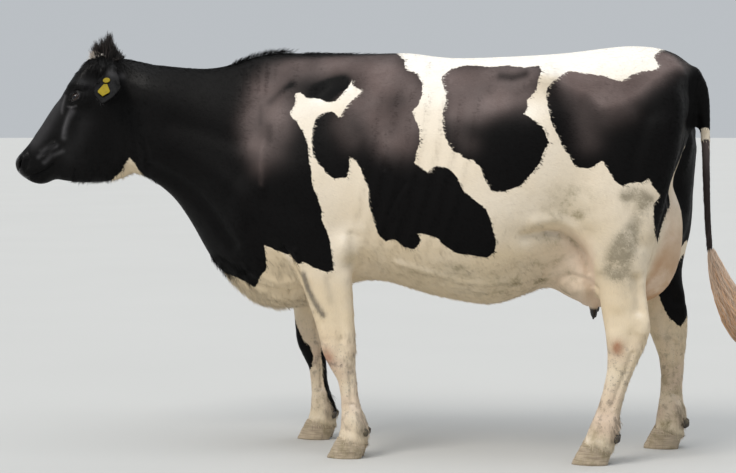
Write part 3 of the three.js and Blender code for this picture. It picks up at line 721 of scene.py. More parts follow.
FORE_STRIPE_RIGHT = [
    (-340, 560), (-325, 520), (-312, 470), (-300, 440), (-282, 402), (-262, 372), (-240, 350),
    (-232, 310), (-238, 276), (-262, 240), (-340, 226),
]
FORE_REAR_RIGHT = [(-186, 440), (-176, 440), (-140, 440), (-130, 90), (-164, 120), (-196, 210), (-206, 330)]
THROAT_MARK = [
    (-1070, 945), (-1010, 953), (-966, 972), (-921, 1006), (-899, 1038), (-879, 1062), (-862, 1040),
    (-846, 1004), (-832, 960), (-832, 880), (-1070, 880),
]
STAR, STAR_RADIUS = (-1006, 1440), 36   # the white star on the forehead
THIGHS_WHITE = ([780, 900, 1000, 1110], [122, 80, 36, 6])   # half width between the thighs, by height
TAIL_BAND = (1129, 1166)                # the white band round the tail


def outline_distance(x, z, outline):
    """Signed distance to a closed outline, mm: negative inside."""
    inside = np.zeros(len(x), bool)
    for (ax, az), (bx, bz) in zip(outline, outline[1:] + outline[:1]):
        crosses = (az > z) != (bz > z)
        with np.errstate(divide="ignore", invalid="ignore"):
            inside ^= crosses & (x < (bx - ax) * (z - az) / (bz - az) + ax)
    distance = stroke_distance(x, z, outline + outline[:1])
    return np.where(inside, -distance, distance)


def joined(x, z, *outlines):
    """Signed distance to the edge of several outlines taken as one."""
    return np.minimum.reduce([outline_distance(x, z, outline) for outline in outlines])


def dark_distance(points):
    """Signed distance to the edge of the black hair, mm: negative where it is black."""
    x, y, z = drawn(points).T
    # seen from behind, the edges across the hams go up and down a little
    z = z + (16 * np.sin(y / 17 + 1) + 9 * np.sin(y / 7.3)) * smooth_step(1020, 1090, x) * (z < 1200)
    left = joined(x, z, FOREHAND_LEFT, FLANK_PATCH_LEFT, RUMP_PATCH_LEFT)
    left = np.maximum(left, -outline_distance(x, z, SHOULDER_MARK_LEFT))
    right = joined(x, z, FOREHAND_RIGHT, SADDLE_PATCH_RIGHT, RUMP_PATCH_RIGHT, THIGH_STREAK_RIGHT,
                   HOCK_PATCH_RIGHT, FORE_STRIPE_RIGHT, FORE_REAR_RIGHT)
    to_right = smooth_step(-60, 60, y)
    dark = left * (1 - to_right) + right * to_right
    dark = np.maximum(dark, -outline_distance(x, z, THROAT_MARK))
    star = np.hypot(np.hypot(x - STAR[0], z - STAR[1]) * 1.05, y * 1.15) - STAR_RADIUS
    dark = np.maximum(dark, -star)
    # the white between the thighs, behind and under the body
    between = np.interp(z, *THIGHS_WHITE) - np.abs(y)
    between = np.minimum(between, np.minimum(1120 - z, x - 985))
    dark = np.maximum(dark, between)
    # the tail: black above a white band, and dark below it too, where sun bleaching and painted sheen turn it
    # grey
    tail = (x > TAIL_FRONT) & (np.abs(y) < 48) & (z < 1250)
    low, high = TAIL_BAND
    return np.where(tail, np.minimum(z - low, high - z), dark)


# ------------------------------------------------------------------ shader tools


class Value:
    """A socket that carries a number, with arithmetic that adds Math nodes."""

    def __init__(self, maker, socket):
        self.maker = maker
        self.socket = socket

    def _math(self, operation, *others, clamp=False):
        node = self.maker.node("ShaderNodeMath", {"operation": operation, "use_clamp": clamp},
                               dict(enumerate((self, *others))))
        return Value(self.maker, node.outputs[0])

    def __add__(self, other):
        return self._math("ADD", other)

    def __radd__(self, other):
        return self._math("ADD", other)

    def __sub__(self, other):
        return self._math("SUBTRACT", other)

    def __rsub__(self, other):
        return (self * -1)._math("ADD", other)

    def __mul__(self, other):
        return self._math("MULTIPLY", other)

    def __rmul__(self, other):
        return self._math("MULTIPLY", other)

    def clamp(self):
        return self._math("ADD", 0.0, clamp=True)

    def step(self, low, high):
        """0 below low and 1 above high, with a smooth rise between."""
        node = self.maker.node("ShaderNodeMapRange", {"interpolation_type": "SMOOTHSTEP"},
                               {"Value": self, "From Min": low, "From Max": high})
        return Value(self.maker, node.outputs[0])


class ShaderMaker:
    """Builds one material's nodes."""

    def __init__(self, name, rooted=False):
        """A rooted material is coloured by where each tuft grows from, not by its own shape."""
        self.rooted = rooted
        self.material = bpy.data.materials.new(name)
        self.material.use_nodes = True
        self.tree = self.material.node_tree
        self.tree.nodes.clear()

    def node(self, kind, settings=None, inputs=None):
        """Any node: its settings are set first, then its sockets' values or links."""
        node = self.tree.nodes.new(kind)
        for key, value in (settings or {}).items():
            setattr(node, key, value)
        for key, value in (inputs or {}).items():
            socket = node.inputs[key]
            source = value.socket if isinstance(value, Value) else value
            if isinstance(source, bpy.types.NodeSocket):
                self.tree.links.new(source, socket)
            elif hasattr(source, "__len__") and len(source) == 3 and len(socket.default_value) == 4:
                socket.default_value = (*source, 1.0)
            else:
                socket.default_value = source
        return node

    def attribute(self, name):
        return Value(self, self.node("ShaderNodeAttribute", {"attribute_name": name}).outputs["Fac"])

    def place(self):
        """Where the surface is, or where its tuft grows from."""
        if self.rooted:
            return self.node("ShaderNodeAttribute", {"attribute_name": "root"}).outputs["Vector"]
        return self.node("ShaderNodeTexCoord").outputs["Object"]

    def stretched(self, scale, turn=(0.0, 0.0, 0.0)):
        """Places turned and then scaled, for streaks that lie one way."""
        turned = self.node("ShaderNodeVectorRotate", {"rotation_type": "EULER_XYZ"},
                           {"Vector": self.place(), "Rotation": turn}).outputs[0]
        return self.node("ShaderNodeVectorMath", {"operation": "MULTIPLY"},
                         {0: turned, 1: scale}).outputs[0]

    def noise(self, scale, detail=3.0, roughness=0.55, vector=None, distortion=0.0):
        inputs = {"Scale": scale, "Detail": detail, "Roughness": roughness, "Distortion": distortion}
        inputs["Vector"] = self.place() if vector is None else vector
        return Value(self, self.node("ShaderNodeTexNoise", None, inputs).outputs[0])

    def mix(self, factor, first, second):
        node = self.node("ShaderNodeMix", {"data_type": "RGBA"}, {0: factor, 6: first, 7: second})
        return node.outputs[2]

    def shade(self, colour, amount):
        """A colour scaled by a number."""
        return self.node("ShaderNodeVectorMath", {"operation": "SCALE"},
                         {0: colour, "Scale": amount}).outputs[0]

    def bump(self, height, strength=0.4, distance=0.001):
        return self.node("ShaderNodeBump", None,
                         {"Height": height, "Strength": strength, "Distance": distance}).outputs[0]

    def finish(self, **sockets):
        """Ends in a principled shader; keys are its sockets with _ for a space."""
        shader = self.node("ShaderNodeBsdfPrincipled", None,
                           {key.replace("_", " "): value for key, value in sockets.items()})
        self.node("ShaderNodeOutputMaterial", None, {"Surface": shader.outputs[0]})
        return self.material


BODY_HAIR_TURN = (0, math.radians(-20), 0)
NOSE_HAIR_TURN = (0, math.radians(37), 0)

# Colours that tint, fade or stain the ones in the settings, or paint sheen and shade into them.
# Painted sheen on dark hair, partly sun bleaching, and painted grey highlights on the face.
FADE_AND_SHEEN_DUN = (0.132, 0.097, 0.090)
FACE_SHEEN = (0.13, 0.125, 0.13)
# The rear udder's darker orange-brown: the skin's own, and painted shade between the hind legs.
UDDER_FLUSH_AND_SHADE = (0.44, 0.23, 0.11)
LEG_SPECKLE = (0.62, 0.44, 0.36)
LEG_GRIME = (0.15, 0.125, 0.11)
THIGH_GRIME = (0.17, 0.145, 0.095)
THIN_HAIR = (0.10, 0.088, 0.075)
MUZZLE_TONES = (0.0075, 0.0065, 0.0068), (0.020, 0.017, 0.017)
# Painted shade deep in the nostrils.
NOSTRIL_SHADE = (0.0008, 0.0006, 0.0006)


def hair_streaks(make):
    """Height of the short hair, streaked along the way it lies on body, legs and face."""
    leg, face = make.attribute("leg"), make.attribute("face")
    body = make.noise(1.0, 3.0, 0.6, make.stretched((60, 420, 420), BODY_HAIR_TURN), 0.3)
    limb = make.noise(1.0, 3.0, 0.6, make.stretched((430, 430, 70)), 0.3)
    nose = make.noise(1.0, 3.0, 0.6, make.stretched((520, 520, 110), NOSE_HAIR_TURN), 0.3)
    body = body * (1 - leg) + limb * leg
    return body * (1 - face) + nose * face


def hide_colour(make, streaks):
    """Coat colour with painted sheen, bleaching, creamy hair, dirt, painted shade and stains; and its white
    share.
    """
    colours = bpy.context.scene.cow_colours
    edge = make.attribute("dark")
    teeth = make.noise(1.0, 2.0, 0.6, make.stretched((28, 110, 110), BODY_HAIR_TURN))
    fringe = make.noise(1.0, 2.0, 0.5, make.stretched((120, 520, 520), BODY_HAIR_TURN))
    edge = edge + (teeth - 0.5) * 13 + (fringe - 0.5) * 8
    white = edge.step(-1.2, 1.2)
    # Painted sheen of glossy dark hair, partly sun bleaching: black lightened to pale brown, grey on the
    # face.
    fade_sheen_share = make.attribute("fade_and_sheen") * (0.62 + make.noise(7.0, 4.0, 0.6) * 0.76)
    fade_sheen_colour = make.mix(make.noise(4.0, 3.0).step(0.4, 0.65), tuple(colours.bleach_and_sheen), FADE_AND_SHEEN_DUN)
    fade_sheen_colour = make.mix(make.attribute("face"), fade_sheen_colour, FACE_SHEEN)
    black = make.mix(fade_sheen_share.clamp(), tuple(colours.black), fade_sheen_colour)
    black = make.shade(black, 0.75 + streaks * 0.5)
    # Creamy hair, partly painted shade where the hair faces sideways or down.
    cream_and_shade = make.attribute("cream_and_shade") * (0.55 + make.noise(4.2, 4.0, 0.62) * 0.9)
    light = make.mix(cream_and_shade.clamp(), tuple(colours.white), tuple(colours.cream_and_shade))
    udder = make.attribute("pink") * (0.7 + make.noise(9.0) * 0.5)
    # The udder's back flushed darker, partly painted shade between the hind legs.
    flush_and_shade = make.noise(5.0, 4.0, 0.6).step(0.30, 0.56) * make.attribute("flush_and_shade")
    light = make.mix(udder.clamp(), light, make.mix(flush_and_shade, tuple(colours.pink), UDDER_FLUSH_AND_SHADE))
    rust = make.attribute("rust") * (0.4 + make.noise(30.0) * 1.1)
    light = make.mix(rust.clamp(), light, tuple(colours.rust))
    lower, grey = make.attribute("speckle"), make.attribute("grey")
    light = make.mix(lower * make.noise(8.0, 3.0).step(0.3, 0.7) * 0.5, light, LEG_SPECKLE)
    dots = make.noise(150.0, 1.0, 0.5).step(0.60, 0.78) + make.noise(40.0, 2.0, 0.5).step(0.54, 0.74)
    blotch = make.noise(32.0, 5.0, 0.68).step(0.18, 0.62) + make.noise(150.0, 2.0).step(0.50, 0.70) * 0.4
    marks = dots * lower * 0.75 + blotch * grey.step(0.05, 0.75)
    grime = make.mix(grey.step(0.0, 0.3), LEG_GRIME, THIGH_GRIME)
    light = make.mix(marks.clamp() * 0.72, light, grime)
    line = (make.attribute("streak") * (0.7 + make.noise(120.0) * 0.6)).clamp()
    light = make.mix(line * 0.8, light, THIN_HAIR)
    # Dirt, partly painted shade in folds, between the legs and under the belly.
    soil = (make.noise(14.0, 5.0, 0.68).step(0.45, 0.75) + 0.26) * make.attribute("soil")
    light = make.mix(soil.clamp(), light, tuple(colours.soil))
    light = make.shade(light, 0.90 + streaks * 0.2)
    return make.mix(white, black, light), white


def hide_material():
    make = ShaderMaker("hide")
    streaks = hair_streaks(make)
    colour, white = hide_colour(make, streaks)
    bare = make.attribute("bare")
    grain = make.node("ShaderNodeTexVoronoi", {"feature": "DISTANCE_TO_EDGE"},
                      {"Vector": make.place(), "Scale": 230.0}).outputs[0]
    colour = make.mix(bare, colour, make.mix(make.noise(18.0, 4.0), *MUZZLE_TONES))
    hollow = make.attribute("hollow")
    # Painted shade deep in the nostrils.
    colour = make.mix(hollow, colour, NOSTRIL_SHADE)
    pebbles = Value(make, grain).step(0.0, 0.22)
    rough = 0.50 + white * 0.16 + (streaks - 0.5) * 0.25
    rough = rough * (1 - bare) + bare * (0.34 + make.noise(60.0) * 0.12)
    coarse = make.noise(26.0, 3.0, 0.55)
    height = streaks * (1 - bare) + coarse * 0.5 + pebbles * bare * 0.6
    moist = bare * 0.75 + make.attribute("face") * (1 - bare) * 0.05
    return make.finish(Base_Color=colour, Roughness=rough.clamp(), Specular_IOR_Level=0.07,
                       Coat_Weight=moist * (1 - hollow), Coat_Roughness=0.22,
                       Normal=make.bump(height, 0.5, 0.0016))


def hair_finish(make, colour, roughness, specular=0.3):
    """Ends a hair material: each lock is a little lighter or darker than the next."""
    return make.finish(Base_Color=make.shade(colour, make.attribute("shade")), Roughness=roughness,
                       Specular_IOR_Level=specular)


def coat_material():
    make = ShaderMaker("coat", rooted=True)
    colour, _ = hide_colour(make, make.noise(90.0, 2.0, 0.5))
    return hair_finish(make, colour, 0.6, 0.05)


def switch_material():
    make = ShaderMaker("switch_hair", rooted=True)
    down, strand = make.attribute("down"), make.attribute("strand")
    pale = make.mix(make.noise(16.0, 3.0), (0.68, 0.55, 0.44), (0.52, 0.37, 0.27))
    rust = make.mix(strand, (0.40, 0.17, 0.06), (0.58, 0.33, 0.16))
    colour = make.mix((down + (strand - 0.5) * 0.5).step(0.40, 0.95), pale, rust)
    grey = make.mix(strand, (0.10, 0.085, 0.075), (0.23, 0.19, 0.16))
    colour = make.mix((down + (strand - 0.5) * 0.16).step(0.03, 0.10), grey, colour)
    return hair_finish(make, colour, 0.55)


def poll_material():
    make = ShaderMaker("poll_hair", rooted=True)
    strand, front = make.attribute("strand"), make.attribute("front")
    dark = make.mix(strand.step(0.3, 0.9), (0.010, 0.009, 0.009), (0.050, 0.038, 0.033))
    colour = make.mix((front + (strand - 0.6) * 0.8).step(0.62, 0.78), dark, (0.62, 0.54, 0.46))
    return hair_finish(make, colour, 0.5)


def lash_material():
    make = ShaderMaker("lashes", rooted=True)
    return hair_finish(make, (0.012, 0.010, 0.010), 0.4, 0.5)


def eye_material():
    make = ShaderMaker("eye")
    iris, slit = make.attribute("iris"), make.attribute("slit")
    fibres = make.noise(700.0, 3.0)
    brown = make.mix(fibres, (0.030, 0.013, 0.006), (0.010, 0.005, 0.003))
    colour = make.mix(slit.step(0.30, 0.36), (0.0015, 0.002, 0.004), brown)
    colour = make.mix(iris.step(0.72, 0.80), colour, (0.006, 0.004, 0.004))
    colour = make.mix(iris.step(0.86, 0.95), colour, (0.16, 0.10, 0.085))
    return make.finish(Base_Color=colour, Roughness=0.08, Specular_IOR_Level=0.2,
                       Coat_Weight=0.45, Coat_Roughness=0.02)


def claw_material():
    make = ShaderMaker("claw_horn")
    colours = bpy.context.scene.cow_colours
    bands = make.noise(1.0, 3.0, 0.6, make.stretched((14, 14, 260)))
    streaks = make.noise(1.0, 3.0, 0.6, make.stretched((240, 240, 26)))
    colour = make.mix(bands.step(0.35, 0.75), tuple(colours.horn), (0.26, 0.20, 0.14))
    colour = make.mix(streaks.step(0.55, 0.8) * 0.6, colour, (0.07, 0.055, 0.042))
    mud = make.noise(24.0, 5.0, 0.65).step(0.42, 0.7)
    colour = make.mix(mud * 0.65, colour, tuple(colours.soil))
    height = bands * 0.6 + streaks * 0.4 + mud * 0.5
    return make.finish(Base_Color=colour, Roughness=(0.48 + mud * 0.35).clamp(),
                       Normal=make.bump(height, 0.5, 0.0012))


def dewclaw_material():
    make = ShaderMaker("dewclaw_horn")
    colours = bpy.context.scene.cow_colours
    bands = make.noise(1.0, 3.0, 0.6, make.stretched((40, 40, 420)))
    mud = make.noise(40.0, 5.0, 0.65).step(0.42, 0.7)
    colour = make.mix(bands, (0.020, 0.016, 0.014), (0.055, 0.042, 0.034))
    colour = make.mix(mud * 0.5, colour, tuple(colours.soil))
    return make.finish(Base_Color=colour, Roughness=(0.5 + mud * 0.3).clamp(),
                       Normal=make.bump(bands + mud * 0.6, 0.5, 0.001))


def tag_material():
    make = ShaderMaker("tag_plastic")
    colours = bpy.context.scene.cow_colours
    grime = make.noise(70.0, 5.0, 0.65).step(0.45, 0.75)
    cloud = make.noise(26.0, 3.0)
    colour = make.mix(cloud * 0.6, tuple(colours.tag), (0.15, 0.11, 0.004))
    colour = make.mix(grime * 0.35, colour, (0.10, 0.08, 0.03))
    return make.finish(Base_Color=colour, Specular_IOR_Level=0.12,
                       Roughness=(0.38 + grime * 0.3).clamp(),
                       Normal=make.bump(make.noise(420.0, 2.0), 0.2, 0.0004))


# ------------------------------------------------------------------ masks on the skin


# Soft spots in the drawing: (centre, radii, amount), mm.
# Partly painted shade on the underside.
CREAM_AND_SHADE_SPOTS = [
    ((560, 0, 640), (260, 400, 120), 0.5),       # belly
    ((-380, 0, 620), (200, 300, 110), 0.5),      # brisket
]
RUST_SPOTS = [
    ((912, -240, 414), (22, 34, 26), 1.3),       # hock
    ((-112, -230, 356), (26, 44, 36), 1.2),      # knee
    ((-30, -190, 60), (90, 60, 26), 0.25),       # pastern
]
# Dirt, and painted shade and green bounce light under the belly, flank and udder.
SOIL_AND_SHADE_SPOTS = [
    # painted shade under the flank's fold
    ((640, -240, 796), (70, 90, 26), 0.8),       # fold of the flank
    ((350, -240, 694), (60, 90, 16), 0.9),       # along the milk vein
    ((200, -220, 660), (120, 90, 20), 0.4),
    ((633, -200, 640), (34, 90, 26), 1.1),       # before the udder
    ((645, -200, 700), (70, 90, 40), 0.8),
    ((745, -200, 655), (60, 90, 16), 0.5),
    # painted green bounce light on the stifle
    ((745, -270, 905), (80, 60, 66), 1.3),       # stifle
    # painted shade deep between the hind legs
    ((1010, 0, 830), (70, 200, 110), 0.8),       # back of the udder
    # painted shade and green bounce light under the belly
    ((440, -170, 640), (300, 160, 56), 0.45),    # belly
    ((560, -100, 600), (190, 200, 70), 0.5),
]


def blob(points, centre, radii):
    """1 at a drawn centre, falling smoothly to almost 0 at one and a half radii."""
    offset = (drawn(points) - centre) / radii
    return np.exp(-np.einsum("ij,ij->i", offset, offset) * 1.2)


def spotted(points, spots):
    """The spots' amounts at each point, added up."""
    return sum(blob(points, centre, radii) * amount for centre, radii, amount in spots)


def paint(mesh, points, normals):
    """Adds the masks that the materials read."""
    x, y, z = drawn(points).T
    up = normals[:, 2]
    leg = leg_share(x, y, z)
    add_attribute(mesh, "dark", dark_distance(points))
    add_attribute(mesh, "leg", leg)
    add_attribute(mesh, "face", head_share(points, 0.30))
    udder = np.clip(blob(points, (890, 0, 700), (250, 260, 230)) * 1.7, 0, 1)
    outer_leg = smooth_step(120, 150, np.abs(y)) * (x > 830)
    add_attribute(mesh, "pink", udder * (1 - smooth_step(240, 268, np.abs(y))) * (1 - outer_leg))
    # The udder flushed darker at its back and underneath: the skin's own, and painted shade between the hind
    # legs.
    flush_and_shade = blob(points, (850, 0, 590), (90, 200, 60)) * 0.4
    add_attribute(mesh, "flush_and_shade", smooth_step(930, 1010, x) + flush_and_shade)
    muzzle = smooth_step(-1288, -1306, x + (z - 1040) * 0.35) * smooth_step(968, 985, z + (x + 1320) * 0.3)
    teats = smooth_step(544, 532, z) * (np.abs(y) < 125) * (x > 780) * (x < 990)
    lids = sum(bell(eye_level(points, side)[3], 1.08, 0.14) for side in (-1, 1))
    add_attribute(mesh, "bare", np.clip(muzzle + teats + lids, 0, 1))
    # Painted sheen on the dark hair's sides, partly sun bleaching; grey on the tail below its band; none on
    # the crest.
    sheen = stroke_heights(x, z, SHEEN) * smooth_step(0.05, 0.4, np.abs(normals[:, 1]))
    sheen += is_tail(x, y) * np.interp(z, [1000, 1060, 1120, 1150], [0.22, 0.4, 0.55, 0])
    sheen *= 1 - smooth_step(58, 22, np.abs(y)) * (z > 1340) * smooth_step(160, -160, x)
    add_attribute(mesh, "fade_and_sheen", np.clip(sheen, 0, 1))
    # Painted shade: light hair creamier where it faces sideways and down, whiter on top; creamier on the
    # legs.
    cream_and_shade = smooth_step(0.75, 0.1, up) * 0.6 + smooth_step(0.1, -0.8, up) * 0.4 + leg * 0.25
    add_attribute(mesh, "cream_and_shade", np.clip(cream_and_shade + spotted(points, CREAM_AND_SHADE_SPOTS), 0, 1))
    add_attribute(mesh, "rust", np.clip(spotted(points, RUST_SPOTS), 0, 1))
    speckle = leg * (1 - smooth_step(330, 500, z)) * smooth_step(60, 130, z)
    add_attribute(mesh, "speckle", np.clip(speckle, 0, 1))
    grey = stroke_heights(x, z, GREY_PATCH) * smooth_step(-150, -200, y)
    grey += blob(points, (-185, 200, 420), (34, 90, 120)) * (y > 0) * 0.35
    add_attribute(mesh, "grey", np.clip(grey, 0, 1))
    add_attribute(mesh, "streak", np.clip(stroke_heights(x, z, GREY_STREAKS) * (y < 0), 0, 1))
    # Dirt, with painted shade in the folds.
    soil = spotted(points, SOIL_AND_SHADE_SPOTS) + stroke_heights(x, z, CREASE_SHADE) * (y < -120)
    soil += leg * (1 - smooth_step(110, 330, z)) * 0.5
    # Painted shade on the legs' inner sides, deeper between the hind legs.
    inner = y * normals[:, 1] < 0
    soil += leg_share(x, y, z + 60) * inner * (0.12 + 0.3 * (x > 400))
    add_attribute(mesh, "soil", np.clip(soil, 0, 1))


# ------------------------------------------------------------------ hair

MASKS = ["dark", "leg", "face", "pink", "flush_and_shade", "bare", "fade_and_sheen", "cream_and_shade", "rust", "speckle", "grey",
         "streak", "soil"]
PATCH = 0.003           # width of a tuft's patch in its map
COAT_PIECES = 8
LONG_PIECES = 2


def unwrapped(points):
    """A place on the map for each point: body, four legs and tail are rolled out apart."""
    x, y, z = drawn(points).T
    spine = np.interp(x, [-1350, -1000, -400, 1200], [1050, 1230, 1060, 1060])
    turn = np.arctan2(y, z - spine) / math.tau + 0.5
    flat = np.stack([0.02 + 0.96 * (x + 1345) / 2700, 0.30 + 0.68 * turn], 1)
    limbs = [(-1, True), (1, True), (-1, False), (1, False)]
    for number, (side, fore) in enumerate(limbs):
        middle = np.interp(z, LEG_HEIGHTS, LEFT_LEG["foreleg" if fore else "hindleg"])
        if side > 0:
            middle = middle + np.interp(z, LEG_HEIGHTS, LEG_LEAN["foreleg" if fore else "hindleg"])
        here = (z < 640) & (np.sign(y) == side) & ((x < 300) == fore) & (np.abs(x - middle) < 150)
        turn = np.arctan2(y - side * 190, x - middle) / math.tau + 0.5
        leg = np.stack([0.02 + 0.19 * number + 0.17 * turn, 0.02 + 0.25 * z / 640], 1)
        flat[here] = leg[here]
    tail = is_tail(x, y) & (z < 1400)
    turn = np.arctan2(y, x - 1200) / math.tau + 0.5
    rolled = np.stack([0.80 + 0.17 * turn, 0.02 + 0.25 * z / 1400], 1)
    flat[tail] = rolled[tail]
    return np.clip(flat, 0.004, 0.996)


def triangle_mesh(name, points, triangles):
    mesh = bpy.data.meshes.new(name)
    mesh.vertices.add(len(points))
    mesh.vertices.foreach_set("co", points.astype(np.float32).ravel())
    mesh.loops.add(triangles.size)
    mesh.loops.foreach_set("vertex_index", triangles.ravel())
    mesh.polygons.add(len(triangles))
    mesh.polygons.foreach_set("loop_start", np.arange(0, triangles.size, 3))
    mesh.update(calc_edges=True)
    mesh.shade_smooth()
    return mesh


def lock_mesh(name, curves, widths, ups, roots_at, masks, flatness=0.45, shading=None):
    """Closed three-sided locks along curves, pointed at both ends.

    curves is (locks, points, 3), widths (locks, points), ups a direction for each lock, and
    masks the values that each lock's colour is worked out from. shading gives each lock one
    direction to be shaded from, so that flat hair takes the light as the skin below it does.
    """
    locks, steps, _ = curves.shape
    along = unit(np.gradient(curves, axis=1))
    side = unit(np.cross(along, ups[:, None, :]))
    up = np.cross(side, along)
    turns = np.array([math.pi / 2, math.pi * 7 / 6, math.pi * 11 / 6])
    inner = curves[:, 1:-1, None, :]
    wide = widths[:, 1:-1, None, None] / 2
    rings = (inner + side[:, 1:-1, None, :] * np.cos(turns)[:, None] * wide
             + up[:, 1:-1, None, :] * np.sin(turns)[:, None] * wide * flatness)
    count = 3 * (steps - 2) + 2
    points = np.concatenate([curves[:, :1], rings.reshape(locks, -1, 3), curves[:, -1:]], 1)
    last = count - 1
    pattern = [(0, 1 + k, 1 + (k + 1) % 3) for k in range(3)]
    for ring in range(steps - 3):
        a, b = 1 + 3 * ring, 4 + 3 * ring
        for k in range(3):
            n = (k + 1) % 3
            pattern += [(a + k, b + n, a + n), (a + k, b + k, b + n)]
    top = last - 3
    pattern += [(last, top + (k + 1) % 3, top + k) for k in range(3)]
    triangles = (np.array(pattern)[None] + np.arange(locks)[:, None, None] * count).reshape(-1, 3)
    mesh = triangle_mesh(name, points.reshape(-1, 3), triangles)

    grid = [((r + 1) / (steps - 1), k / 2) for r in range(steps - 2) for k in range(3)]
    patch = (np.array([(0.0, 0.5), *grid, (1.0, 0.5)]) - 0.5) * PATCH
    place = (unwrapped(roots_at)[:, None, :] + patch[None]).reshape(-1, 2)
    layer = mesh.uv_layers.new(name="OFBake")
    layer.data.foreach_set("uv", place[triangles.ravel()].astype(np.float32).ravel())
    for key, values in masks.items():
        add_attribute(mesh, key, np.repeat(values, count))
    root = mesh.attributes.new("root", "FLOAT_VECTOR", "POINT")
    root.data.foreach_set("vector", np.repeat(roots_at, count, 0).astype(np.float32).ravel())
    if shading is not None:
        mesh.normals_split_custom_set_from_vertices(np.repeat(shading, count, 0).tolist())
    return mesh


class Ground:
    """The skin as hair sees it: places, directions and masks to grow from."""

    def __init__(self, skin):
        mesh = skin.data
        self.points = mesh_points(mesh)
        self.normals = mesh_normals(mesh)
        mesh.calc_loop_triangles()
        corners = np.empty(len(mesh.loop_triangles) * 3, int)
        mesh.loop_triangles.foreach_get("vertices", corners)
        self.corners = corners.reshape(-1, 3)
        a, b, c = (self.points[self.corners[:, k]] for k in range(3))
        self.area = np.linalg.norm(np.cross(b - a, c - a), axis=1) / 2
        self.middles = (a + b + c) / 3
        self.masks = {name: read_attribute(mesh, name) for name in MASKS}

    def grow(self, weight, count, random):
        """Random roots, more of them where the weight per area is higher."""
        share = np.cumsum(self.area * weight)
        face = np.searchsorted(share, random.random(count) * share[-1])
        r, s = np.sqrt(random.random(count)), random.random(count)
        bary = np.stack([1 - r, r * (1 - s), r * s], 1)
        corner = self.corners[face]
        place = np.einsum("ij,ijk->ik", bary, self.points[corner])
        normal = unit(np.einsum("ij,ijk->ik", bary, self.normals[corner]))
        masks = {name: np.einsum("ij,ij->i", bary, values[corner])
                 for name, values in self.masks.items()}
        return place, normal, masks


def lie(points, normals):
    """The way the coat lies at each point, along the skin."""
    x, y, z = drawn(points).T
    side = np.sign(y)
    way = np.stack([np.ones(len(x)), np.zeros(len(x)), -0.25 - 0.95 * smooth_step(1250, 750, z)], 1)
    neck = smooth_step(-380, -560, x)[:, None]
    way = way * (1 - neck) + np.array([0.8, 0, -0.75]) * neck
    limb = leg_share(x, y, z)[:, None]
    way = way * (1 - limb) + np.array([0.12, 0, -1]) * limb
    belly = smooth_step(-0.3, -0.8, normals[:, 2])[:, None] * (1 - limb) * (1 - neck)
    way = way + np.stack([x * 0, -side * 0.5, x * 0], 1) * belly
    face = smooth_step(-900, -1010, x) * smooth_step(-1.2, -0.4, (z - 1200) / 500)
    way = way * (1 - face[:, None]) + np.array([-0.25, 0, -1]) * face[:, None]
    nose = smooth_step(-1080, -1130, x)[:, None] * (np.abs(normals[:, 1]) < 0.75)[:, None]
    way = way * (1 - nose) + np.array([-0.62, 0, -0.78]) * nose
    ear = is_ear(x, y, z)[:, None]
    way = np.where(ear, np.stack([x * 0 + 0.1, side * 0.7, x * 0 - 0.7], 1), way)
    way = np.where(is_tail(x, y)[:, None], [0.05, 0, -1], way)
    way[:, 0] += 0.18 * np.sin(z / 90 + x / 160)
    way[:, 2] += 0.18 * np.sin(x / 110 - z / 170 + 1)
    way -= normals * np.einsum("ij,ij->i", way, normals)[:, None]
    return unit(way)


def turned(way, normals, angle):
    """Directions turned about the skin's normal."""
    across = np.cross(normals, way)
    return way * np.cos(angle)[:, None] + across * np.sin(angle)[:, None]


def tuft_size(points):
    """Length and width of the short coat's tufts at each place, metres."""
    x, y, z = drawn(points).T
    length = np.full(len(x), 0.015)
    length -= 0.004 * leg_share(x, y, z)
    length -= 0.005 * smooth_step(-850, -1020, x)
    length -= 0.003 * smooth_step(-1120, -1240, x)
    length += 0.008 * bell(y, 0, 30) * smooth_step(1380, 1420, z) * (x > -450) * (x < 60)
    return length, length * 0.14


# ------------------------------------------------------------------ operators


def swell_head(points, settings, back=False):
    """Magnifies space round the head, or undoes it, so that one voxel size suits head and body."""
    reach, scale = settings.head_reach, settings.head_scale
    offset = points - HEAD_CENTRE
    radius = np.maximum(np.linalg.norm(offset, axis=1), 1e-9)
    if back:
        new = np.where(radius < reach * scale, radius / scale, radius - (scale - 1) * reach)
    else:
        new = np.where(radius < reach, radius * scale, radius + (scale - 1) * reach)
    return HEAD_CENTRE + offset * (new / radius)[:, None]


def largest_body(mesh):
    """Deletes everything but the biggest connected part."""
    edges = mesh_edges(mesh)
    label = np.arange(len(mesh.vertices))
    while True:
        low = np.minimum(label[edges[:, 0]], label[edges[:, 1]])
        new = label.copy()
        np.minimum.at(new, edges[:, 0], low)
        np.minimum.at(new, edges[:, 1], low)
        new = new[new]
        if np.array_equal(new, label):
            break
        label = new
    keep = label == np.bincount(label).argmax()
    if keep.all():
        return
    body = bmesh.new()
    body.from_mesh(mesh)
    bmesh.ops.delete(body, geom=[v for v in body.verts if not keep[v.index]], context="VERTS")
    body.to_mesh(mesh)
    body.free()


def remeshed(mesh, voxel):
    source = bpy.data.objects.new("skin_source", mesh)
    bpy.context.scene.collection.objects.link(source)
    remesh = source.modifiers.new("Remesh", "REMESH")
    remesh.mode = "VOXEL"
    remesh.voxel_size = voxel
    graph = bpy.context.evaluated_depsgraph_get()
    result = bpy.data.meshes.new_from_object(source.evaluated_get(graph))
    bpy.data.objects.remove(source)
    return result


def divide_faces(mesh, wanted):
    """Splits every edge between two wanted vertices."""
    body = bmesh.new()
    body.from_mesh(mesh)
    edges = [edge for edge in body.edges if all(wanted[vertex.index] for vertex in edge.verts)]
    bmesh.ops.subdivide_edges(body, edges=edges, cuts=1, use_grid_fill=True)
    body.to_mesh(mesh)
    body.free()


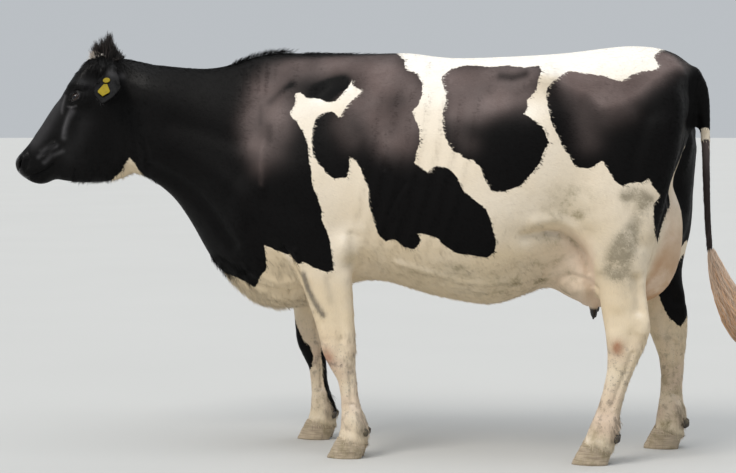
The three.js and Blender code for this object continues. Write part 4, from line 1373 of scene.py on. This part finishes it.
def below_coronet(points):
    """How far each point is under the sloping top of the claws, mm, on the feet only."""
    x, y, z = drawn(points).T
    x = like_left(x, y, z)
    fore = 79 - (x + 76) * 0.32
    hind = 79 - (x - 793) * 0.32
    top = np.where(x < 400, fore, hind)
    return np.clip(top - z, -30, 100)


LEAST_VERTICES = 20000  # a skin with fewer has lost part of the cow


class COW_OT_skin(bpy.types.Operator):
    """Make the skin over all the flesh, with its muscles, folds, lids and markings"""

    bl_idname = "cow.skin"
    bl_label = "Skin"

    def execute(self, context):
        settings = context.scene.cow_skin
        points, faces = [], []
        start = 0
        fattened = {**dict.fromkeys(FLESH, 0.0006), **dict.fromkeys(EYES, 0.0008), **dict.fromkeys(CLAWS, 0)}
        for name, fatten in fattened.items():
            longest = 0.012 if name.startswith("ear") else 0.028
            part_points, part_faces = node_points(name, longest, fatten)
            points.append(part_points)
            faces.append(part_faces + start)
            start += len(part_points)
        points = swell_head(np.vstack(points), settings)
        source = new_mesh("skin_source", points, np.vstack(faces).tolist())
        mesh = remeshed(source, settings.voxel)
        set_points(mesh, swell_head(mesh_points(mesh), settings, back=True))
        largest_body(mesh)
        mesh.name = "skin"
        if len(mesh.vertices) < LEAST_VERTICES:
            raise RuntimeError("the skin's remesh failed")

        set_points(mesh, self.soften(mesh))
        self.refine(mesh)
        points = self.model(mesh)
        set_points(mesh, points)
        paint(mesh, points, mesh_normals(mesh))
        mesh.shade_smooth()
        new_piece("skin", mesh, hide_material(), FLESH)
        return {"FINISHED"}

    @staticmethod
    def soften(mesh):
        """Rounds the solids' facets off and draws the skin inside them by the coat's depth."""
        depth = bpy.context.scene.cow_skin.coat_depth
        points, edges = mesh_points(mesh), mesh_edges(mesh)
        x, y, z = drawn(points).T
        head = head_share(points, 0.33)
        ear = smooth_step(112, 130, np.abs(y)) * (x < -800) * (x > -1010) * (z > 1200)
        tail = (x > TAIL_FRONT + 5) & (np.abs(y) < TAIL_SIDE)
        teat = (z < 545) & (np.abs(y) < 130) & (x > 780) & (x < 990)
        leg = leg_share(x, y, z)
        weight = np.clip(1 - leg - ear - tail - teat - head * 0.35, 0, 1)
        points = keep_shape(points, edges, 4)
        points = relax(points, edges, weight, 60)
        points = relax(points, edges, np.maximum(leg * 0.5, tail * 0.3) + ear * 0.7, 4)
        set_points(mesh, points)
        inset = depth * (1 - ear * 0.6) * (1 - smooth_step(240, 90, z) * 0.6)
        under = smooth_step(0, 7, below_coronet(points)) * (z < 95)
        inset = inset * (1 - under) + 0.0055 * under - 0.005 * teat
        return points - mesh_normals(mesh) * inset[:, None]

    @staticmethod
    def refine(mesh):
        """Finer faces on lower legs and narrow strokes, and finest round eyes, mouth and nostrils."""
        x, y, z = drawn(mesh_points(mesh)).T
        x = like_left(x, y, z)
        narrow = [stroke for stroke in BODY_STROKES if stroke[1] <= 12]
        near = [stroke_distance(x, z, line) < 2.2 * radius for line, radius, _ in narrow]
        divide_faces(mesh, (z < 470) | (np.logical_or.reduce(near) & (np.abs(y) > 40)))
        x, y, z = drawn(mesh_points(mesh)).T
        eyes = np.hypot(x - EYE_DRAWN[0], z - EYE_DRAWN[1]) < 62
        muzzle = (x < -1150) & (z < 1150)
        divide_faces(mesh, (eyes & (np.abs(y) > 60)) | muzzle)
        set_points(mesh, keep_shape(mesh_points(mesh), mesh_edges(mesh), 3))

    @staticmethod
    def model(mesh):
        """Muscles, bones, folds, lids and nostrils."""
        points, normals = mesh_points(mesh), mesh_normals(mesh)
        x, y, z = drawn(points).T
        x = like_left(x, y, z)
        side_facing = smooth_step(0.15, 0.6, np.abs(normals[:, 1]))
        outer = np.sign(normals[:, 1]) == np.sign(y)
        trunk = stroke_heights(x, z, BODY_STROKES) * side_facing * outer
        trunk *= np.maximum(smooth_step(40, 110, np.abs(y)), smooth_step(8, 36, np.abs(y)) * (x < -180))
        behind = smooth_step(0.3, 0.75, normals[:, 0]) * (x > 930) * ~is_tail(x, y)
        trunk += stroke_heights(np.abs(y), z, REAR_STROKES) * behind
        legs = stroke_heights(x, z, LEG_STROKES) * side_facing
        head = stroke_heights(x, z, HEAD_STROKES) * smooth_step(0.1, 0.5, np.abs(normals[:, 1]))
        head *= np.abs(y) < 118
        points = points + normals * ((trunk + legs + head) * MM)[:, None]
        crest = np.interp(x, *CREST_RISE)
        crest *= smooth_step(0.1, 0.8, normals[:, 2]) * (z > 1180) * bell(y, 0, 110)
        points[:, 2] += crest * MM
        ham = smooth_step(0.1, 0.6, normals[:, 0]) * smooth_step(48, 96, y) * smooth_step(930, 1010, x)
        points[:, 0] += ham * np.interp(z, *HAM_PUSH) * MM
        set_points(mesh, points)
        nostrils = [nostril_level(points, side) for side in (-1, 1)]
        hollow = sum((1 - smooth_step(0.5, 1.0, level)) * (near > 0.5) for level, _, near in nostrils)
        add_attribute(mesh, "hollow", hollow)
        return shape_lids(shape_muzzle(points, mesh_normals(mesh)))


class COW_OT_coat(bpy.types.Operator):
    """Lay the short coat over the skin in small flat tufts"""

    bl_idname = "cow.coat"
    bl_label = "Short coat"

    def execute(self, context):
        settings = context.scene.cow_coat
        ground = Ground(bpy.data.objects["skin"])
        material = coat_material()
        length, _ = tuft_size(ground.middles)
        corner = ground.corners[:, 0]
        # short tufts stand closer, and bare skin has none
        weight = length ** -1.5 * (1 - ground.masks["bare"][corner])
        weight *= 1 - 0.85 * ground.masks["pink"][corner]
        for side in ("left", "right"):
            eye = np.array(box_centre(f"eye_{side}"))
            weight *= smooth_step(0.024, 0.032, np.linalg.norm(ground.middles - eye, axis=1))
        weight *= below_coronet(ground.middles) < 2
        for number in range(COAT_PIECES):
            random = np.random.default_rng(settings.seed + number)
            place, normal, masks = ground.grow(weight, settings.body_tufts, random)
            length, width = tuft_size(place)
            length = length * random.uniform(0.7, 1.25, len(length))
            way = turned(lie(place, normal), normal, random.normal(0, 0.16, len(length)))
            lift = length * random.uniform(-0.005, 0.02, len(length))
            reach, rise = way * length[:, None], normal * lift[:, None]
            curve = np.stack([place - normal * 0.0012, place + reach * 0.45 + rise,
                              place + reach + rise], 1)
            wide = np.repeat(width[:, None], 3, 1) * random.uniform(0.7, 1.2, (len(width), 1))
            masks["shade"] = random.normal(1.0, 0.045, len(length))
            shading = unit(normal + random.normal(0, 0.07, normal.shape))
            mesh = lock_mesh(f"coat_{number + 1}", curve, wide, normal, place, masks, 0.16, shading)
            new_piece(f"coat_{number + 1}", mesh, material)
        return {"FINISHED"}


def ear_plate(side):
    """The direction across an ear's thin sheet, from its solid."""
    points, _ = node_points(f"ear_{side}", 0.02, 0)
    return np.linalg.svd(points - points.mean(0), full_matrices=False)[2][2]


def long_hair(points, normals):
    """Weight, length in metres and lift of the longer hair, and the share of it on an ear's edge."""
    x, y, z = drawn(points).T
    across = np.abs(y)
    down, back = smooth_step(0.2, 0.8, -normals[:, 2]), smooth_step(0.1, 0.7, normals[:, 0])
    plate = np.where(y[:, None] < 0, ear_plate("left"), ear_plate("right"))
    edge = is_ear(x, y, z) * smooth_step(0.75, 0.3, np.abs(np.einsum("ij,ij->i", normals, plate)))
    leg = leg_share(x, y, z)
    ridge = smooth_step(24, 8, across) * (z > 1380) * smooth_step(-260, -230, x)
    withers = smooth_step(20, 6, across) * (z > 1330) * smooth_step(-530, -480, x)
    under_coronet = below_coronet(points)
    tail = is_tail(x, y) * smooth_step(1180, 900, z) * (np.abs(normals[:, 2]) < 0.5)
    places = [  # (where, length, lift, how thickly)
        (ridge * smooth_step(60, -200, x), 0.030, 0.4, 4),
        (withers * smooth_step(-270, -330, x), 0.034, 1.1, 7),
        (smooth_step(26, 8, across) * (z > 1330) * (x < -450) * (x > -960), 0.024, 0.2, 2),   # crest
        (down * (x < -790) * (x > -1110) * (z > 900) * (z < 1150), 0.020, 0.3, 1.5),          # throat
        (down * (x < -180) * (x > -600) * (z < 720) * (1 - leg), 0.030, 0.28, 2),             # brisket
        (down * (x > -120) * (x < 650) * (1 - leg), 0.022, 0.2, 0.8),                         # belly
        (back * leg * (z > 170) * (z < 470), 0.020, 0.22, 1.5),                               # cannons
        (back * (z > 96) * (z < 172), 0.032, 0.25, 5),                                        # fetlocks
        ((under_coronet < 2) * (under_coronet > -26) * (z < 130), 0.024, 0.12, 6),
        (edge, 0.017, 0.35, 14),
        (bell(np.hypot(x + 985, y * 0.9), 0, 62) * (z > 1375), 0.026, 0.3, 7),                # poll
        (tail, 0.034, 0.02, 6),
    ]
    weight = sum(where * thickly for where, _, _, thickly in places)
    share = np.maximum(weight, 1e-9)
    length = sum(where * thickly * length for where, length, _, thickly in places) / share
    lift = sum(where * thickly * lift for where, _, lift, thickly in places) / share
    return weight, length, lift, edge


class COW_OT_long_coat(bpy.types.Operator):
    """Grow the longer hair of crest, brisket, belly, ears, fetlocks and tail"""

    bl_idname = "cow.long_coat"
    bl_label = "Long coat"

    def execute(self, context):
        settings = context.scene.cow_coat
        random = np.random.default_rng(settings.seed + 30)
        ground = Ground(bpy.data.objects["skin"])
        corner = ground.corners[:, 0]
        weight = long_hair(ground.middles, ground.normals[corner])[0]
        weight = weight * (1 - ground.masks["bare"][corner])
        for number in range(LONG_PIECES):
            self.grow(f"coat_long_{number + 1}", ground, weight, random)
        return {"FINISHED"}

    @staticmethod
    def grow(name, ground, weight, random):
        count, steps = bpy.context.scene.cow_coat.long_locks, 5
        place, normal, masks = ground.grow(weight, count, random)
        _, length, lift, edge = long_hair(place, normal)
        length = length * random.uniform(0.55, 1.15, count)
        on_tail = drawn(place)[:, 0] > TAIL_FRONT
        way = turned(lie(place, normal), normal, random.normal(0, 0.3, count) * (1 - 0.75 * on_tail))
        way = unit(way + normal * (lift * random.uniform(0.4, 1.3, count))[:, None])
        t = np.linspace(0, 1, steps)[None, :, None]
        arc = way[:, None] * t + np.array([0, 0, -0.18]) * t ** 2
        curve = place[:, None] - normal[:, None] * 0.001 + arc * length[:, None, None]
        wide = length[:, None] * 0.062 * np.array([0.8, 1, 1, 0.7, 0.1])[None]
        # A painted highlight on each ear's front fringe: the locks there are lighter.
        front = edge * smooth_step(0.1, -0.6, normal[:, 0])
        masks["fade_and_sheen"] = np.maximum(masks["fade_and_sheen"], front * 0.5)
        masks["shade"] = random.normal(1.0, 0.10, count) + front * 0.6
        shading = unit(normal + random.normal(0, 0.16, normal.shape))
        mesh = lock_mesh(name, curve, wide, normal, place, masks, 0.5, shading)
        new_piece(name, mesh, bpy.data.materials["coat"])


# The outer edge of the poll's hair and the place that it grows from, in side view, mm.
POLL_OUTLINE = [
    (-1042, 1428), (-1042, 1456), (-1030, 1484), (-1006, 1506), (-984, 1502), (-966, 1534), (-948, 1496),
    (-930, 1462), (-910, 1428),
]
POLL_FOOT = (-974.0, 1404.0)
POLL_RISE = 0.022  # how far the hair may stand above its solid, metres


def switch_section():
    """The switch's middle and half widths at heights from its top to its tip."""
    points, _ = node_points("tail_switch", 0.012, 0)
    low, high = points[:, 2].min(), points[:, 2].max()
    heights = np.linspace(high, low, 26)
    rows = []
    for height in heights:
        ring = points[np.abs(points[:, 2] - height) < 0.014]
        small, large = ring.min(0), ring.max(0)
        rows.append([*(small + large)[:2] / 2, height, *(large - small)[:2] / 2])
    return np.array(rows)


class COW_OT_switch(bpy.types.Operator):
    """Hang the long hair of the tail's switch"""

    bl_idname = "cow.switch"
    bl_label = "Tail switch"

    def execute(self, context):
        settings = context.scene.cow_coat
        random = np.random.default_rng(settings.seed + 50)
        section = switch_section()
        count, steps = settings.switch_locks, 12
        start = random.uniform(0, 0.62, count) ** 1.3
        end = np.clip(start + random.uniform(0.35, 0.9, count), 0, 1)
        end = np.where(random.random(count) < 0.25, random.uniform(0.93, 1.0, count), end)
        t = start[:, None] + (end - start)[:, None] * np.linspace(0, 1, steps)[None]
        rows = np.stack([np.interp(t, np.linspace(0, 1, len(section)), section[:, k]) for k in range(5)], -1)
        turn = random.uniform(0, math.tau, count)[:, None] + t * random.normal(0.5, 0.5, (count, 1))
        turn = turn + 0.14 * np.sin(t * random.uniform(14, 30, (count, 1)) + random.uniform(0, 6, (count, 1)))
        reach = np.sqrt(random.uniform(0.15, 1, (count, 1)))
        reach = reach * np.interp(t - start[:, None], [0, 0.12, 1], [0.7, 0.93, 0.96])
        curve = np.stack([rows[..., 0] + rows[..., 3] * np.cos(turn) * reach,
                          rows[..., 1] + rows[..., 4] * np.sin(turn) * reach, rows[..., 2]], -1)
        taper = np.sin(np.linspace(0.25, 1, steps) * math.pi * 0.93) ** 0.7
        wide = random.uniform(0.0016, 0.0042, (count, 1)) * taper
        ups = np.stack([np.cos(turn[:, 5]), np.sin(turn[:, 5]), turn[:, 5] * 0], 1)
        masks = {"shade": random.normal(1.0, 0.14, count), "down": t[:, 6], "strand": random.random(count)}
        mesh = lock_mesh("switch", curve, wide, ups, curve[:, 1], masks, 0.8)
        new_piece("switch", mesh, switch_material(), ["tail_switch"])
        return {"FINISHED"}


class COW_OT_poll(bpy.types.Operator):
    """Stand the shock of hair on the poll"""

    bl_idname = "cow.poll"
    bl_label = "Poll tuft"

    def execute(self, context):
        settings = context.scene.cow_coat
        random = np.random.default_rng(settings.seed + 80)
        points, _ = node_points("poll_tuft", 0.012, 0)
        low, high = points.min(0), points.max(0)
        middle, half = (low + high) / 2, (high - low) / 2
        count, steps, clumps = settings.poll_locks, 9, 120
        run = random.uniform(0, len(POLL_OUTLINE) - 1, clumps)
        line = np.array(POLL_OUTLINE)
        edge_x, edge_z = (np.interp(run, np.arange(len(line)), line[:, k]) for k in (0, 1))
        aside = random.uniform(-1, 1, clumps)
        share = random.uniform(0.82, 1.12, clumps) * np.sqrt(1 - 0.35 * aside ** 2)
        foot_x, foot_z = POLL_FOOT
        clump = np.stack([ORIGIN_X + (foot_x + (edge_x - foot_x) * share) * MM, aside * half[1] * 0.9,
                          (foot_z + (edge_z - foot_z) * share) * MM], 1)
        base = np.array([ORIGIN_X + foot_x * MM, 0, foot_z * MM])
        pick = random.integers(0, clumps, count)
        tip = clump[pick] + random.normal(0, 0.0032, (count, 3))
        tip = base + (tip - base) * random.uniform(0.55, 1.0, (count, 1)) ** 0.35
        spread = random.normal(0, 0.006, (count, 3)) * [1, 1, 0.3]
        root = base + (tip - base) * np.array([0.6, 0.7, 0.0]) + spread
        root[:, 2] += 0.010
        t = np.linspace(0, 1, steps)[None, :, None]
        rise = np.array([0.05, 0, 1.0])[None, None] * np.linalg.norm(tip - root, axis=1)[:, None, None]
        bow = random.uniform(0.05, 0.32, (count, 1, 1))
        curve = root[:, None] + (tip - root)[:, None] * t + rise * bow * np.sin(t * math.pi) * (1 - t * 0.6)
        wave = np.sin(t[..., 0] * random.uniform(3, 7, (count, 1)) + random.uniform(0, 6, (count, 1)))
        curve[..., 1] += wave * 0.004 * t[..., 0]
        curve[..., 0] += np.roll(wave, 3, 1) * 0.003 * t[..., 0]
        curve[..., 2] = np.minimum(curve[..., 2], high[2] + POLL_RISE)
        taper = np.interp(np.linspace(0, 1, steps), [0, 0.3, 1], [0.6, 1, 0.2])
        wide = random.uniform(0.0013, 0.0027, (count, 1)) * taper
        front = smooth_step(0.35 * half[0], -0.8 * half[0], root[:, 0] - middle[0])
        front = front * (tip[:, 2] < low[2] + 0.42 * (high[2] - low[2]))
        masks = {"shade": random.normal(1.0, 0.16, count), "strand": random.random(count), "front": front}
        ups = unit(tip - base + [0.3, 0, 0.001])
        mesh = lock_mesh("poll_hair", curve, wide, ups, root, masks, 0.7)
        new_piece("poll_hair", mesh, poll_material(), ["poll_tuft"])
        return {"FINISHED"}


EYE_BULGE = 0.0008              # rise of the eye's clear front, metres
LASH_SPHERE = (0.0228, 0.0215)  # radius of the sphere that lashes stand on, and how far out they do


def eye_mesh(name, side):
    """An eyeball whose clear front bulges, with attributes for iris and pupil."""
    centre, outward, forward, across = eye_frame(side)
    radius = eye_radius() - 0.0002
    rings, spokes = 26, 56
    points, iris, slit = [centre + outward * (radius + EYE_BULGE)], [0.0], [0.0]
    for ring in range(1, rings):
        polar = math.radians(150) * ring / (rings - 1)
        bulge = EYE_BULGE * (1 - smooth_step(0.35, 0.85, polar))
        for spoke in range(spokes):
            turn = math.tau * spoke / spokes
            flat = forward * math.cos(turn) + across * math.sin(turn)
            points.append(centre + (outward * math.cos(polar) + flat * math.sin(polar)) * (radius + bulge))
            iris.append(polar)
            slit.append(math.hypot(math.cos(turn) * 0.55, math.sin(turn) * 1.25) * polar)
    faces = [(0, 1 + k, 1 + (k + 1) % spokes) for k in range(spokes)]
    for ring in range(rings - 2):
        a, b = 1 + ring * spokes, 1 + (ring + 1) * spokes
        for k in range(spokes):
            n = (k + 1) % spokes
            faces.append((a + k, b + k, b + n, a + n))
    back = len(points)
    points.append(centre - outward * radius * 0.9)
    last = 1 + (rings - 2) * spokes
    faces += [(back, last + (k + 1) % spokes, last + k) for k in range(spokes)]
    if side < 0:
        faces = [face[::-1] for face in faces]
    mesh = new_mesh(name, np.array(points), faces)
    add_attribute(mesh, "iris", iris + [3.0])
    add_attribute(mesh, "slit", slit + [3.0])
    return mesh


class COW_OT_eyes(bpy.types.Operator):
    """Set the eyes, with iris, level pupil and lashes"""

    bl_idname = "cow.eyes"
    bl_label = "Eyes"

    def execute(self, context):
        random = np.random.default_rng(5)
        ball, lash = eye_material(), lash_material()
        for side, name in ((-1, "eye_left"), (1, "eye_right")):
            new_piece(f"{name}_ball", eye_mesh(f"{name}_ball", side), ball, [name])
            centre, outward, forward, across = eye_frame(side)
            width, height = EYE_OPENING
            turn = np.linspace(math.radians(200), math.radians(345), 64)
            rim = (np.outer(np.cos(turn) * width * 1.08, forward)
                   + np.outer(np.sin(turn) * height * 1.12, across)) * MM
            radius, widest = LASH_SPHERE
            flat = np.minimum(np.linalg.norm(rim, axis=1), widest)
            root = centre + rim + np.outer(np.sqrt(radius ** 2 - flat ** 2), outward)
            away = unit(rim) * 0.75 + outward * 0.55 - across * 0.25 + random.normal(0, 0.10, rim.shape)
            t = np.linspace(0, 1, 6)[None, :, None]
            length = random.uniform(0.009, 0.015, (len(rim), 1, 1))
            droop = (np.array([0, 0, -0.25]) + across * 0.2)[None, None] * t ** 2
            curve = root[:, None] + (unit(away)[:, None] * t + droop) * length
            wide = np.full((len(rim), 6), 0.0008)
            ups = np.repeat(outward[None], len(rim), 0)
            masks = {"shade": random.normal(1, 0.1, len(rim))}
            lashes = lock_mesh(f"{name}_lashes", curve, wide, ups, root, masks, 1.0)
            new_piece(f"{name}_lashes", lashes, lash)
        return {"FINISHED"}


CLAW_VOXEL = 0.003
DEWCLAW_VOXEL = 0.0022
GROWTH_RING = (4.6, 0.00045)  # millimetres up the claw for each radian of the wave, and its height


def remesh_node(name, voxel):
    """A solid as an even, fine mesh."""
    points, faces = node_points(name, 0.02, 0, 3)
    return remeshed(new_mesh(name, points, faces.tolist()), voxel)


class COW_OT_claws(bpy.types.Operator):
    """Shape the claws, with worn edges and growth rings, and the dewclaws"""

    bl_idname = "cow.claws"
    bl_label = "Claws"

    def execute(self, context):
        horn, dark = claw_material(), dewclaw_material()
        for name in CLAWS:
            mesh = remesh_node(name, CLAW_VOXEL)
            points = mesh_points(mesh)
            soft = keep_shape(points, mesh_edges(mesh), 5)
            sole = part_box(name)[0].z
            soft[:, 2] = np.maximum(soft[:, 2], sole)
            flat = points[:, 2] < sole + 0.0035
            soft[flat, 2] = points[flat, 2] * 0.5 + sole * 0.5
            soft[points[:, 2] < sole + 0.0016, 2] = sole
            set_points(mesh, soft)
            x, y, z = drawn(soft).T
            along = z + (x - x.min()) * 0.34
            spacing, height = GROWTH_RING
            rings = np.sin(along / spacing + 1.2 * np.sin(y / 14)) * smooth_step(6, 20, z)
            soft = soft + mesh_normals(mesh) * (rings * height)[:, None]
            soft[:, 2] = np.maximum(soft[:, 2], sole)
            set_points(mesh, soft)
            mesh.shade_smooth()
            new_piece(f"{name}_horn", mesh, horn, [name])
        for name in DEWCLAWS:
            mesh = remesh_node(name, DEWCLAW_VOXEL)
            set_points(mesh, relax(mesh_points(mesh), mesh_edges(mesh), 1.0, 26))
            mesh.shade_smooth()
            new_piece(f"{name}_horn", mesh, dark, [name])
        return {"FINISHED"}


TAG_RIM, TAG_RECESS, TAG_ROUNDING = 0.0028, 0.0009, 0.0006


class COW_OT_tags(bpy.types.Operator):
    """Mould the ear tags with rounded edges, a raised rim and a pin, and leave them blank"""

    bl_idname = "cow.tags"
    bl_label = "Ear tags"

    def execute(self, context):
        plastic = tag_material()
        for name in TAGS:
            body = node_bmesh(name)
            bmesh.ops.dissolve_limit(body, angle_limit=math.radians(3), verts=body.verts, edges=body.edges)
            faces = sorted(body.faces, key=lambda face: -face.calc_area())[:2]
            bmesh.ops.inset_individual(body, faces=faces, thickness=TAG_RIM, use_even_offset=True)
            for face in faces:
                bmesh.ops.translate(body, verts=face.verts, vec=-face.normal * TAG_RECESS)
            sharp = [edge for edge in body.edges if edge.calc_face_angle(0) > math.radians(35)]
            bmesh.ops.bevel(body, geom=sharp, offset=TAG_ROUNDING, segments=2, affect="EDGES", profile=0.5)
            if "button" in name:
                self.add_pin(body)
            mesh = bpy.data.meshes.new(name)
            body.to_mesh(mesh)
            body.free()
            mesh.shade_flat()
            new_piece(f"{name}_moulding", mesh, plastic, [name])
        return {"FINISHED"}

    @staticmethod
    def add_pin(body):
        """A small boss with a dimple in the middle of the button's largest face."""
        outer = max(body.faces, key=lambda face: face.calc_area())
        for inset, rise in ((0.0035, 0.0), (0.0012, 0.0016), (0.0012, -0.0012)):
            bmesh.ops.inset_individual(body, faces=[outer], thickness=inset, use_even_offset=True)
            bmesh.ops.translate(body, verts=outer.verts, vec=outer.normal * rise)


FLOOR_RADIUS = 90.0  # so far that its edge is the horizon
FLOOR_SIDES = 64
LIGHTS = [  # (name, where it comes from, strength, spread in degrees, colour)
    ("key", (-0.55, -0.75, 1.0), 1.7, 24, (1.0, 0.96, 0.90)),
    ("top", (0.1, -0.15, 1.0), 1.42, 50, (0.96, 0.98, 1.0)),
    ("back", (0.7, 0.8, 0.6), 0.35, 40, (1.0, 0.98, 0.95)),
]


class COW_OT_stage(bpy.types.Operator):
    """Set the floor, the soft lights and the camera"""

    bl_idname = "cow.stage"
    bl_label = "Stage"

    def execute(self, context):
        settings = context.scene.cow_stage
        make = ShaderMaker("floor")
        tone = make.noise(0.7, 2.0)
        colour = make.shade(tuple(settings.floor_colour), 0.97 + tone * 0.06)
        material = make.finish(Base_Color=colour, Roughness=0.85)
        turns = np.arange(FLOOR_SIDES) * math.tau / FLOOR_SIDES
        rim = np.stack([np.cos(turns), np.sin(turns), turns * 0], 1) * FLOOR_RADIUS
        floor = bpy.data.objects.new("floor", new_mesh("floor", rim, [tuple(range(FLOOR_SIDES))]))
        floor.data.materials.append(material)
        context.scene.collection.objects.link(floor)

        world = bpy.data.worlds.new("studio")
        context.scene.world = world
        context.scene.view_settings.view_transform = "Standard"
        world.use_nodes = True
        background = world.node_tree.nodes["Background"]
        background.inputs["Color"].default_value = (0.90, 0.95, 1.0, 1.0)
        background.inputs["Strength"].default_value = 0.55
        for name, toward, strength, spread, tint in LIGHTS:
            lamp = bpy.data.lights.new(name, "SUN")
            lamp.energy = strength
            lamp.angle = math.radians(spread)
            lamp.color = tint
            light = bpy.data.objects.new(name, lamp)
            light.rotation_euler = Vector(toward).to_track_quat("Z", "Y").to_euler()
            context.scene.collection.objects.link(light)

        lens = bpy.data.cameras.new("camera")
        lens.sensor_width = 36.0
        lens.lens = settings.lens
        camera = bpy.data.objects.new("camera", lens)
        turn, tilt = settings.turn, settings.tilt
        place = Vector((math.sin(turn), -math.cos(turn), 0)) * settings.distance
        camera.location = at(0, 0) + place + Vector((0, 0, settings.height))
        look = Vector((-math.sin(turn) * math.cos(tilt), math.cos(turn) * math.cos(tilt), -math.sin(tilt)))
        camera.rotation_euler = look.to_track_quat("-Z", "Y").to_euler()
        context.scene.collection.objects.link(camera)
        context.scene.camera = camera
        return {"FINISHED"}


OPERATORS = [COW_OT_skin, COW_OT_coat, COW_OT_long_coat, COW_OT_poll, COW_OT_switch,
             COW_OT_eyes, COW_OT_claws, COW_OT_tags, COW_OT_stage]


class COW_PT_panel(bpy.types.Panel):
    """Lists the pieces of the cow in the order they are made"""

    bl_idname = "COW_PT_panel"
    bl_label = "Dairy cow"
    bl_space_type = "VIEW_3D"
    bl_region_type = "UI"
    bl_category = "Cow"

    def draw(self, context):
        for operator in OPERATORS:
            self.layout.operator(operator.bl_idname)
        for key in SETTINGS:
            group = getattr(context.scene, key)
            box = self.layout.box()
            for name in group.__annotations__:
                box.prop(group, name)


CLASSES = [*SETTINGS.values(), *OPERATORS, COW_PT_panel]


def register():
    for cls in CLASSES:
        bpy.utils.register_class(cls)
    for key, group in SETTINGS.items():
        setattr(bpy.types.Scene, key, PointerProperty(type=group))


def unregister():
    for key in SETTINGS:
        delattr(bpy.types.Scene, key)
    for cls in reversed(CLASSES):
        bpy.utils.unregister_class(cls)


def main():
    register()
    for operator in OPERATORS:
        group, name = operator.bl_idname.split(".")
        getattr(getattr(bpy.ops, group), name)()


if __name__ == "__main__":
    main()
